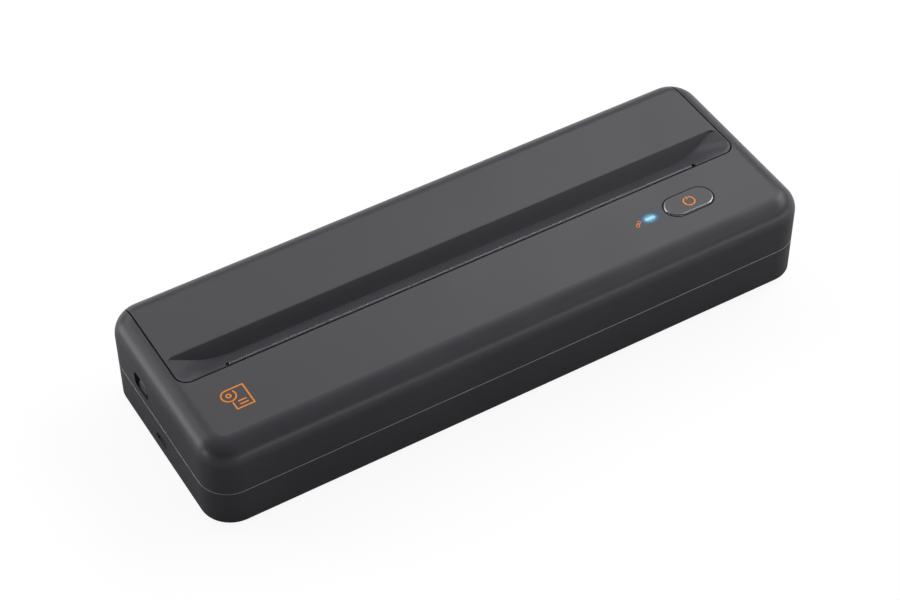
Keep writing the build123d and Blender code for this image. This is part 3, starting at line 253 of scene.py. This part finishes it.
drawn_steel = metal("drawn_steel", (0.56, 0.56, 0.57), 0.32, 0.4)
black_steel = metal("black_steel", (0.045, 0.045, 0.047), 0.38, 0.4)
stamped_steel = metal("stamped_steel", (0.28, 0.28, 0.29), 0.50, 0.4)
socket_steel = metal("socket_steel", (0.62, 0.62, 0.63), 0.25, 0.5)
extruded_aluminium = metal("extruded_aluminium", (0.74, 0.74, 0.76), 0.36, 0.5)
turned_brass = metal("turned_brass", (0.66, 0.50, 0.22), 0.30, 0.3, stretch=EVEN)
print("materials with the metals:", len(bpy.data.materials))

# %% [markdown]
# ## Boards
# A circuit board is green lacquer over copper tracks, which show as slightly raised lines.
# Real tracks could be drawn one by one, but the boards lie deep inside, so a pattern of
# square cells stands for them. The board of the print head is smooth, pale ceramic.

# %% Board materials
def board_lacquer(name, cell_mm=4):
    """Green lacquer with raised lines along the edges of square cells."""
    material, tree, shader, place = start_material(name)
    cells = tree.nodes.new("ShaderNodeTexVoronoi")
    cells.feature = "DISTANCE_TO_EDGE"
    cells.distance = "CHEBYCHEV"
    cells.inputs["Scale"].default_value = 1 / (cell_mm * MM)
    tree.links.new(place, cells.inputs["Vector"])
    from_edge = cells.outputs["Distance"]
    over_copper, over_board = (0.010, 0.075, 0.030), (0.006, 0.045, 0.018)
    tint(tree, from_edge, over_copper, over_board, shader.inputs["Base Color"])
    shader.inputs["Roughness"].default_value = 0.25
    grain(tree, from_edge, 0.03, shader, strength=0.4)
    return material


board_green = board_lacquer("board_green")
head_ceramic = moulded(
    "head_ceramic", (0.66, 0.66, 0.62), 0.16, 0.8, 0.002, specular=0.5, blotch_mm=6
)
print("materials with the boards:", len(bpy.data.materials))

# %% [markdown]
# ## The lit lamp
# The status light is a clear rod with a blue diode under it. A small lamp inside a glass
# rod would glow too, but it renders slowly and with speckles. Here the rod's own material
# gives off light, brighter and nearly white in the middle and a deeper blue at the rim,
# which a smooth distance from the middle of the rod's end decides.

# %% Lamp material
lamp_low, lamp_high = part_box("status_light_guide")
lamp_middle = (lamp_low + lamp_high) / 2
lamp_oval = (2.4 * MM, 0.9 * MM, 4 * MM)
lamp_strength = 0.95


def oval_distance(tree, place, middle, half_size):
    """0 in the middle of an oval of half_size around a point, 1 at its rim and more beyond."""
    mapping = tree.nodes.new("ShaderNodeMapping")
    mapping.vector_type = "TEXTURE"
    mapping.inputs["Location"].default_value = middle
    mapping.inputs["Scale"].default_value = half_size
    tree.links.new(place, mapping.inputs["Vector"])
    length = tree.nodes.new("ShaderNodeVectorMath")
    length.operation = "LENGTH"
    tree.links.new(mapping.outputs["Vector"], length.inputs[0])
    return length.outputs["Value"]


lit_guide, tree, shader, place = start_material("lit_guide")
from_middle = oval_distance(tree, place, (lamp_middle.x, lamp_middle.y, lamp_high.z), lamp_oval)
tint(tree, from_middle, (0.38, 0.80, 1.0), (0.20, 0.56, 0.92), shader.inputs["Emission Color"])
tint(tree, from_middle, (0.10, 0.20, 0.28), (0.05, 0.14, 0.26), shader.inputs["Base Color"])
shader.inputs["Emission Strength"].default_value = lamp_strength
shader.inputs["Roughness"].default_value = 0.2
print("lamp middle in mm:", [round(v / MM, 2) for v in lamp_middle])

# %% [markdown]
# ## Dressing the solids
# Each solid keeps its shape and gets its finish by putting a material in its slots. A
# table from finish to solids is easier to check than forty separate lines.

# %% Give every solid its finish
finishes = {
    casing_plastic: ["base_shell", "upper_shell"],
    cover_plastic: ["top_cover"],
    button_plastic: ["power_button"],
    slider_plastic: ["release_slider"],
    inner_plastic: ["cover_frame", "paper_tray", "latch_bar"],
    bearing_plastic: ["platen_bushings"],
    gear_plastic: ["platen_gear", "idler_gear"],
    chip_plastic: ["paper_sensor", "power_switch", "board_components", "usb_c_tongue"],
    lamp_plastic: ["status_led"],
    cell_wrap: ["battery_cells"],
    platen_rubber: ["platen_roller"],
    foot_rubber: ["rubber_feet"],
    drawn_steel: [
        "hinge_pins", "platen_shaft", "idler_axle", "motor_shaft", "stepper_motor",
        "gear_plate", "head_pivot_pins", "head_springs", "head_bracket", "release_spring",
    ],
    stamped_steel: ["tear_bar"],
    black_steel: ["motor_screws", "casing_screws"],
    socket_steel: ["usb_c_shell"],
    extruded_aluminium: ["heat_sink"],
    turned_brass: ["motor_pinion"],
    board_green: ["button_board", "main_board", "usb_board"],
    head_ceramic: ["print_head_board"],
    lit_guide: ["status_light_guide"],
}
dressed = set()
for material, node_names in finishes.items():
    for node_name in node_names:
        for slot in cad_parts[node_name].material_slots:
            slot.material = material
        dressed.add(node_name)
print("dressed", len(dressed), "of", len(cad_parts), "left:", set(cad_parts) - dressed)

# %% [markdown]
# ## From mesh to piece
# The pieces that follow are thin things on top of the solids: ink, a bright rim, a painted
# highlight, a black ring of painted shade and a film of light. Each is built in a bmesh, which is
# Blender's mesh for editing. To show, it has to become an object with a material, and to move, it
# has to ride on a body. That is the same for all of them, so one helper does it.

# %% A helper that finishes a piece
def piece_from(mesh, name, material, body):
    """Turns a bmesh into an object that has a material and rides on a body."""
    data = bpy.data.meshes.new(name)
    mesh.to_mesh(data)
    mesh.free()
    data.materials.append(material)
    piece = bpy.data.objects.new(name, data)
    bpy.context.scene.collection.objects.link(piece)
    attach(piece, body)
    print(name, "on", body, "faces:", len(data.polygons))


# %% [markdown]
# ## Printed marks
# The power ring, the link sign and the small roll of paper in the corner are printed in
# orange. Ink is a skin a few hundredths of a millimetre thick. A curve with a bevel could
# draw it, but would be round in section. Here a stroke is a chain of points that becomes a
# flat ribbon of mesh with round ends.

# %% A stroke becomes a ribbon of ink
INK = 0.03 * MM
SAME_PLACE = 1e-4 * MM
tip_steps = 8
narrowest_turn = 0.5


def to_left(step):
    """The sideways direction to the left of a step."""
    return Vector((-step.y, step.x)).normalized()


def ribbon(mesh, points, width, base_z):
    """Adds one stroke of ink. Points and width are in mm. Equal ends close the stroke."""
    path = [Vector(point) for point in points]
    closed = (path[0] - path[-1]).length < SAME_PLACE / MM
    if closed:
        path.pop()
    count = len(path)

    def corner(spot):
        return mesh.verts.new((spot.x * MM, spot.y * MM, base_z))

    left, right = [], []
    for i, point in enumerate(path):
        step_in = point - path[i - 1] if closed or i > 0 else path[1] - point
        step_out = path[(i + 1) % count] - point if closed or i < count - 1 else step_in
        across = (to_left(step_in) + to_left(step_out)).normalized()
        reach = width / 2 / max(narrowest_turn, across.dot(to_left(step_in)))
        left.append(corner(point + across * reach))
        right.append(corner(point - across * reach))
    faces = []
    for i in range(count if closed else count - 1):
        j = (i + 1) % count
        faces.append(mesh.faces.new([left[i], right[i], right[j], left[j]]))
    for end, inner, way in [] if closed else [(0, 1, -1), (-1, -2, 1)]:
        outward = path[end] - path[inner]
        heading = atan2(outward.y, outward.x)
        bend = [heading + way * side * pi / tip_steps for side in range(3, -4, -1)]
        tip = [corner(path[end] + width / 2 * Vector((cos(a), sin(a)))) for a in bend]
        faces.append(mesh.faces.new([left[end], *tip, right[end]]))
    raised = bmesh.ops.extrude_face_region(mesh, geom=faces)["geom"]
    top = [v for v in raised if isinstance(v, bmesh.types.BMVert)]
    bmesh.ops.translate(mesh, verts=top, vec=(0, 0, INK))


print(f"ink is {INK / MM:.2f} mm thick")

# %% [markdown]
# ## Marks and inks
# A mark is a set of such strokes of one width. Round strokes are written as arcs, so that a
# middle, a radius and two angles are all that has to be chosen. Ink is nearly even in tone
# and has hardly any gloss, and the plastics' function can already make that.

# %% Helpers for marks, and two inks
def printed_mark(name, strokes, width, base_z, material, body):
    """A mark of several strokes of one width, printed on a surface at base_z."""
    mesh = bmesh.new()
    for points in strokes:
        ribbon(mesh, points, width, base_z)
    bmesh.ops.recalc_face_normals(mesh, faces=mesh.faces)
    piece_from(mesh, name, material, body)


def arc(x, y, radius, start, end, steps=24):
    """Points on a circle from start to end, in degrees."""
    angles = [radians(start + (end - start) * i / steps) for i in range(steps + 1)]
    return [(x + radius * cos(a), y + radius * sin(a)) for a in angles]


def ink(name, tone):
    """Printing ink, which is even and has hardly any gloss."""
    return moulded(name, tone, 0.5, 0.4, 0.002, shift=0.03, specular=0.1, blotch_mm=2)


orange_ink = ink("orange_ink", (0.92, 0.295, 0.035))
coral_ink = ink("coral_ink", (0.80, 0.235, 0.120))
print("inks:", orange_ink.name, coral_ink.name)

# %% [markdown]
# ## The power ring
# The ring with its short bar is printed on the button, so it rides on the button and sinks
# with it. Its place is counted from the middle of the button, so it would follow if the
# button were moved.

# %% Draw the power ring
button_low, button_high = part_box("power_button")
button_middle = (button_low + button_high) / 2
power_x, power_y = button_middle.x / MM + 0.2, button_middle.y / MM - 0.2
power_radius, bar_low, bar_high = 2.35, 1.35, 2.5
bold_stroke, fine_stroke = 0.62, 0.38
power_strokes = [
    arc(power_x, power_y, power_radius, 116, 424, steps=36),
    [(power_x, power_y + bar_low), (power_x, power_y + bar_high)],
]
printed_mark("power_mark", power_strokes, bold_stroke, button_high.z, orange_ink, "button")

# %% [markdown]
# ## The link sign
# Next to the lamp stands a small sign of two links of a chain. Each link is one closed loop
# of two half circles, drawn along X and then turned, because that is simpler than working
# out slanting points. The upper link is a little redder.

# %% Draw the link sign
panel_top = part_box("upper_shell")[1].z
link_x, link_y = lamp_middle.x / MM - 5.8, lamp_middle.y / MM - 0.5
link_lean = radians(45)
link_offset, link_length, link_width = 0.98, 1.55, 1.2


def tilted(points, x, y, turn):
    """Points turned about the origin and then moved to (x, y)."""
    return [
        (x + px * cos(turn) - py * sin(turn), y + px * sin(turn) + py * cos(turn))
        for px, py in points
    ]


def small_loop(middle, length, width):
    """A closed loop with round ends that lies along X around a middle."""
    half = width / 2
    straight = length / 2 - half
    points = arc(middle + straight, 0, half, -90, 90, steps=8)
    points += arc(middle - straight, 0, half, 90, 270, steps=8)
    return points + points[:1]


for name, side, colour in (("link_mark_low", -1, orange_ink), ("link_mark_high", 1, coral_ink)):
    flat_loop = small_loop(side * link_offset, link_length, link_width)
    loop = tilted(flat_loop, link_x, link_y, link_lean)
    printed_mark(name, [loop], fine_stroke, panel_top, colour, "casing")

# %% [markdown]
# ## The roll in the corner
# The corner carries a plain pictogram: a roll of paper and the sheet that runs from it, with
# two printed lines. It is set out from the middle of the mark, so that a few sizes say all
# its strokes.

# %% Draw the roll of paper
corner_inset = 24
roll_x, roll_y = solid_box[0].x / MM + corner_inset, solid_box[0].y / MM + corner_inset
spool_x, spool_y, spool_radius, core_radius = roll_x - 2.6, roll_y + 2.2, 2.9, 0.9
sheet_right, sheet_low, sheet_gap = roll_x + 4.6, roll_y - 5.3, 1.1
line_left, line_right = roll_x - 0.4, roll_x + 2.6
paper_strokes = [
    arc(spool_x, spool_y, spool_radius, 30, -270, steps=30) + [
        (sheet_right, spool_y + spool_radius),
        (sheet_right, sheet_low),
        (spool_x, sheet_low),
        (spool_x, spool_y - spool_radius - sheet_gap),
    ],
    arc(spool_x, spool_y, core_radius, 0, 360, steps=14),
]
for line_y in (roll_y - 1.9, roll_y - 3.6):
    paper_strokes.append([(line_left, line_y), (line_right, line_y)])
printed_mark("roll_mark", paper_strokes, bold_stroke, panel_top, orange_ink, "casing")

# %% [markdown]
# ## Fine edges
# Two edges of this printer shine: the rounded rim of the button, and the edge of the lower shell
# where the halves part, whose shine is a painted highlight. A black ring of painted shade lines
# the gap around the button. The solids are fixed, so such an edge can't be bevelled on to them.
# All three run around a rounded rectangle instead, so one small closed profile is swept around
# that outline.

# %% A profile swept around a rounded rectangle
def outline(half_x, half_y, corner, steps):
    """The middle of each corner's circle with the outward directions there, once around."""
    for turn, (side_x, side_y) in enumerate(((1, 1), (-1, 1), (-1, -1), (1, -1))):
        middle = Vector((side_x * (half_x - corner), side_y * (half_y - corner), 0))
        for step in range(steps + 1):
            heading = (turn + step / steps) * pi / 2
            yield middle, Vector((cos(heading), sin(heading), 0))


def edge_strip(name, middle, half_size, corner, profile, material, body, steps=10):
    """Sweeps a profile of (outward, upward) mm, counted from the outline's upper edge."""
    mesh = bmesh.new()
    rows = []
    for near, out in outline(*half_size, corner, steps):
        row = []
        for away, rise in profile:
            point = Vector(middle) + near + out * (corner + away) + Vector((0, 0, rise))
            row.append(mesh.verts.new(point * MM))
        rows.append(row)
    for i, row in enumerate(rows):
        next_row = rows[(i + 1) % len(rows)]
        for j in range(len(profile)):
            k = (j + 1) % len(profile)
            mesh.faces.new([row[j], next_row[j], next_row[k], row[k]])
    bmesh.ops.remove_doubles(mesh, verts=mesh.verts, dist=SAME_PLACE)
    bmesh.ops.recalc_face_normals(mesh, faces=mesh.faces)
    piece_from(mesh, name, material, body)


button_flange = 1.0
button_half = [
    (high - low) / 2 / MM - button_flange
    for low, high in zip(button_low.xy, button_high.xy)
]
print("button half size in mm:", [round(v, 2) for v in button_half])

# %% [markdown]
# ## The button's rim and the painted shade in its gap
# The rim fills the button's bevel with a quarter of a circle, so light slides around it as a thin
# line. It rides on the button. The painted shade is a black ring that stands in the gap, where
# only shade falls, and folds a little way over its edge. It stays with the casing when the button
# is pressed, and keeps a tenth of a millimetre away from it.

# %% Rim and painted gap shade
rim_round, rim_skin = 0.6, 0.02
rim_inside = (-rim_round, -rim_round)
rim_profile = [rim_inside] + arc(*rim_inside, rim_round + rim_skin, 0, 90, steps=6)
button_x, button_y = button_middle.x / MM, button_middle.y / MM
polished_rim = metal("polished_rim", (0.23, 0.23, 0.24), 0.15, 0.3, stretch=EVEN)
edge_strip("button_rim", (button_x, button_y, button_high.z / MM), button_half,
           button_half[1], rim_profile, polished_rim, "button")

# The black ring below is painted shade: a near-black sheet put in the gap around the button,
# where there is only shade.
gap_shade_near, gap_shade_lip, gap_shade_far = 0.10, 0.30, 0.58
gap_shade_skin, gap_shade_slope, gap_shade_depth = 0.012, 0.10, 0.70
gap_shade_profile = [
    (gap_shade_near, -gap_shade_depth), (gap_shade_near, -gap_shade_slope), (gap_shade_lip, gap_shade_skin),
    (gap_shade_far, gap_shade_skin), (gap_shade_far, -gap_shade_depth),
]
painted_gap_shade = moulded("painted_gap_shade", (0.008, 0.008, 0.008), 0.8, 0.1, 0.002, blotch_mm=2)
edge_strip("button_gap_shade", (button_x, button_y, panel_top / MM), button_half,
           button_half[1], gap_shade_profile, painted_gap_shade, "casing")

# %% [markdown]
# ## The parting edge
# Where the two halves of the casing meet, each has a small bevel, and together they make a
# groove. The lower bevel carries a painted highlight: a light grey strip that lies on that bevel
# where light catches the edge. Its first two points are the face that shows, and the other two
# are sunk in the plastic.

# %% Parting edge with a painted highlight
parting_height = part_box("upper_shell")[0].z / MM
casing_half = (solid_box[1].x / MM, solid_box[1].y / MM)
casing_corner = 13.0
parting_profile = [(0.0, -0.20), (-0.18, -0.02), (-0.30, -0.05), (-0.05, -0.30)]
# Light grey on the lower bevel: a painted highlight where light catches the edge.
painted_parting_highlight = moulded("painted_parting_highlight", (0.36, 0.355, 0.35), 0.30, 0.3, 0.002, blotch_mm=8)
edge_strip("parting_painted_highlight", (0, 0, parting_height), casing_half, casing_corner,
           parting_profile, painted_parting_highlight, "casing")

# %% [markdown]
# ## The glow around the lamp
# Blue light spills on to the matt plastic around the lamp. Real spill comes from light that
# scatters in the plastic, which takes many samples to render. A very thin clear film,
# brightest at the lamp and fading to nothing, shows it in any view. It lies lower than the
# ink, so that it passes under the link sign.

# %% Glow film
glow_half_x, glow_half_y = 6.2 * MM, 4.4 * MM
glow_middle = Vector((lamp_middle.x, lamp_middle.y, panel_top + INK / 2))
glow_share = (0.5, 0.0)
glow_fades_from = 0.12


def oval_sheet(middle, half_x, half_y, rings=6, points=40):
    """A flat oval of rings of faces, which all face up."""
    mesh = bmesh.new()
    centre = mesh.verts.new(middle)
    inner = None
    for ring in range(1, rings + 1):
        share = ring / rings
        outer = []
        for i in range(points):
            turn = 2 * pi * i / points
            out = Vector((share * half_x * cos(turn), share * half_y * sin(turn), 0))
            outer.append(mesh.verts.new(middle + out))
        for i in range(points):
            j = (i + 1) % points
            inside = [inner[j], inner[i]] if inner else [centre]
            mesh.faces.new([*inside, outer[i], outer[j]])
        inner = outer
    return mesh


glow_film, tree, shader, place = start_material("glow_film")
fade = oval_distance(tree, place, (*glow_middle.xy, panel_top), (glow_half_x, glow_half_y, 1.0))
shader.inputs["Base Color"].default_value = (0.0, 0.0, 0.0, 1)
shader.inputs["Specular IOR Level"].default_value = 0.0
tint(tree, fade, (0.38, 0.80, 1.0), (0.06, 0.24, 0.52), shader.inputs["Emission Color"])
shader.inputs["Emission Strength"].default_value = lamp_strength
cover_share = remap(tree, fade, (glow_fades_from, 1.0), glow_share, "SMOOTHSTEP")
tree.links.new(cover_share, shader.inputs["Alpha"])
glow_mesh = oval_sheet(glow_middle, glow_half_x, glow_half_y)
piece_from(glow_mesh, "lamp_glow", glow_film, "casing")

# %% [markdown]
# ## One surface, three ways to be seen
# A white background around a dark object is hard on the object: the white lights it from
# all sides and shows in its gloss. More light would only make that worse. Light Path tells
# what a ray is for, so the paper and the room can be white to the camera, and something
# plainer to gloss and to the light that bounces about.

# %% Helpers that tell rays apart
def choose(tree, share, otherwise, chosen):
    """Mixes two shaders by a number: 0 is the first and 1 is the second."""
    chooser = tree.nodes.new("ShaderNodeMixShader")
    tree.links.new(share, chooser.inputs["Fac"])
    tree.links.new(otherwise, chooser.inputs[1])
    tree.links.new(chosen, chooser.inputs[2])
    return chooser.outputs[0]


def by_ray(tree, to_camera, to_gloss, to_bounces):
    """One shader for the camera, one for gloss and glass, and one for light that bounces."""
    ray = tree.nodes.new("ShaderNodeLightPath")
    either = tree.nodes.new("ShaderNodeMath")
    either.operation = "MAXIMUM"
    tree.links.new(ray.outputs["Is Glossy Ray"], either.inputs[0])
    tree.links.new(ray.outputs["Is Transmission Ray"], either.inputs[1])
    not_seen = choose(tree, either.outputs["Value"], to_bounces, to_gloss)
    return choose(tree, ray.outputs["Is Camera Ray"], not_seen, to_camera)


print("helpers made:", choose.__name__, by_ray.__name__)

# %% [markdown]
# ## The floor
# The printer stands on a sweep of white paper. A studio hangs it in a curve, but one flat sheet
# that reaches past the view looks the same.

# %% Floor sheet
floor_reach = 6.0
floor_mesh = bpy.data.meshes.new("floor")
floor_corners = [
    (side_x * floor_reach, side_y * floor_reach, 0)
    for side_x, side_y in ((-1, -1), (1, -1), (1, 1), (-1, 1))
]
floor_mesh.from_pydata(floor_corners, [], [(0, 1, 2, 3)])
floor = bpy.data.objects.new("floor", floor_mesh)
bpy.context.scene.collection.objects.link(floor)
print("floor reaches", floor_reach, "m to every side")

# %% [markdown]
# ## The paper of the floor
# For the camera the paper gives off nearly all of its own white and only a little of it is shade,
# which keeps the printer's shadow faint. Gloss and glass see the same sheet as lit paper, with a
# painted shadow that makes it darker beside the printer, which stands in its light. For the light
# that bounces from the floor it is a darker matt, also with a painted shadow beside the printer,
# or the walls of the printer would be lit from below.

# %% Floor paper
camera_white, shade_tone = 0.91, 0.12
shade_near, shade_far = 18 * MM, 95 * MM


def paper(tree, beside, away):
    """Matt paper with one tone right beside the printer and another from 10 cm away."""
    place = tree.nodes.new("ShaderNodeTexCoord").outputs["Object"]
    outside_printer = (
        ("ABSOLUTE", None),
        ("SUBTRACT", (solid_box[1].x, solid_box[1].y, 1)),
        ("MAXIMUM", (0, 0, 0)),
    )
    for operation, amount in outside_printer:
        step = tree.nodes.new("ShaderNodeVectorMath")
        step.operation = operation
        tree.links.new(place, step.inputs[0])
        if amount:
            step.inputs[1].default_value = amount
        place = step.outputs["Vector"]
    distance = tree.nodes.new("ShaderNodeVectorMath")
    distance.operation = "LENGTH"
    tree.links.new(place, distance.inputs[0])
    tone = remap(tree, distance.outputs["Value"], (shade_near, shade_far), (beside, away),
                 "SMOOTHSTEP")
    sheet = tree.nodes.new("ShaderNodeBsdfDiffuse")
    tree.links.new(tone, sheet.inputs["Color"])
    return sheet.outputs[0]


floor_paper = bpy.data.materials.new("floor_paper")
floor_paper.use_nodes = True
tree = floor_paper.node_tree
tree.nodes.clear()
bright = tree.nodes.new("ShaderNodeEmission")
bright.inputs["Strength"].default_value = camera_white
to_camera = tree.nodes.new("ShaderNodeAddShader")
tree.links.new(bright.outputs[0], to_camera.inputs[0])
tree.links.new(paper(tree, shade_tone, shade_tone), to_camera.inputs[1])
# For gloss and for bounces the paper is darker beside the printer: a painted shadow.
surface = by_ray(
    tree,
    to_camera=to_camera.outputs[0],
    to_gloss=paper(tree, 0.30, 0.95),
    to_bounces=paper(tree, 0.18, 0.30),
)
output = tree.nodes.new("ShaderNodeOutputMaterial")
tree.links.new(surface, output.inputs["Surface"])
floor_mesh.materials.append(floor_paper)
print("floor nodes:", len(tree.nodes))

# %% [markdown]
# ## The room
# Above the sweep the studio is dim, so that the dark plastic keeps its depth. Near the
# horizon the backdrop is white, and that is what steel and glass pick up. A picture of a
# studio could light the scene, but one ramp over the height of a ray says both. To the
# camera the whole backdrop is white.

# %% World
room_light = 0.10
white_below, dim_above = sin(radians(8)), sin(radians(18))
world = bpy.data.worlds.new("studio")
bpy.context.scene.world = world
world.use_nodes = True
tree = world.node_tree
tree.nodes.clear()


def backdrop(tree, strength):
    """White light of one strength from every side."""
    sheet = tree.nodes.new("ShaderNodeBackground")
    sheet.inputs["Color"].default_value = (1, 1, 1, 1)
    sheet.inputs["Strength"].default_value = strength
    return sheet


height = tree.nodes.new("ShaderNodeSeparateXYZ")
tree.links.new(tree.nodes.new("ShaderNodeTexCoord").outputs["Generated"], height.inputs[0])
sweep = backdrop(tree, 1.0)
fade = remap(tree, height.outputs["Z"], (white_below, dim_above), (1.0, room_light), "SMOOTHSTEP")
tree.links.new(fade, sweep.inputs["Strength"])
surface = by_ray(
    tree,
    to_camera=backdrop(tree, 1.0).outputs[0],
    to_gloss=sweep.outputs[0],
    to_bounces=backdrop(tree, room_light).outputs[0],
)
output = tree.nodes.new("ShaderNodeOutputWorld")
tree.links.new(surface, output.inputs["Surface"])
print("world nodes:", len(tree.nodes))

# %% [markdown]
# ## Soft boxes
# Round edges draw a soft box as a band along them, so where the bands lie says where the
# boxes stand. They could be dragged about one by one, but then their distances change their
# brightness. Each box is placed on a dome around the printer instead, by its bearing,
# counted from straight behind towards the right, and its height, in degrees. Its size is
# how wide and high it looks from the printer, and its glow is how bright its cloth is,
# where 1 is white paper in full light.

# %% Soft boxes
dome = 1.8


def soft_box(name, bearing, height, wide, high, glow):
    """Puts one soft box on the dome and says how much it lights a flat white sheet."""
    data = bpy.data.lights.new(name, "AREA")
    data.shape = "RECTANGLE"
    data.size = 2 * dome * tan(radians(wide / 2))
    data.size_y = 2 * dome * tan(radians(high / 2))
    data.energy = pi * data.size * data.size_y * glow
    light = bpy.data.objects.new(name, data)
    turn, rise = radians(bearing), radians(height)
    way = Vector((sin(turn) * cos(rise), cos(turn) * cos(rise), sin(rise)))
    light.location = dome * way
    light.rotation_euler = (-way).to_track_quat("-Z", "Y").to_euler()
    bpy.context.scene.collection.objects.link(light)
    level = data.size * data.size_y / dome ** 2 * sin(rise) * glow / pi
    print(f"{name}: {data.energy:.1f} W, adds {level:.2f} to the level on a flat white sheet")
    return level


light_level = room_light + sum([
    soft_box("left", bearing=-84, height=10, wide=18, high=14, glow=5.0),
    soft_box("left_low", bearing=-50, height=13, wide=26, high=26, glow=4.7),
    soft_box("left_rear", bearing=-25, height=36, wide=40, high=20, glow=3.1),
    soft_box("rear", bearing=28, height=48, wide=40, high=20, glow=2.3),
    soft_box("right_rear", bearing=60, height=45, wide=40, high=20, glow=1.8),
    soft_box("right", bearing=90, height=40, wide=40, high=24, glow=4.6),
    soft_box("right_front", bearing=135, height=35, wide=30, high=20, glow=1.5),
    soft_box("front_strip", bearing=150, height=5, wide=60, high=9, glow=3.6),
])
print(f"light on a flat white sheet: {light_level:.2f} of white")

# %% [markdown]
# ## Finish
# The last cell sets the view transform to Standard.

# %% Finish
bpy.context.scene.view_settings.view_transform = "Standard"
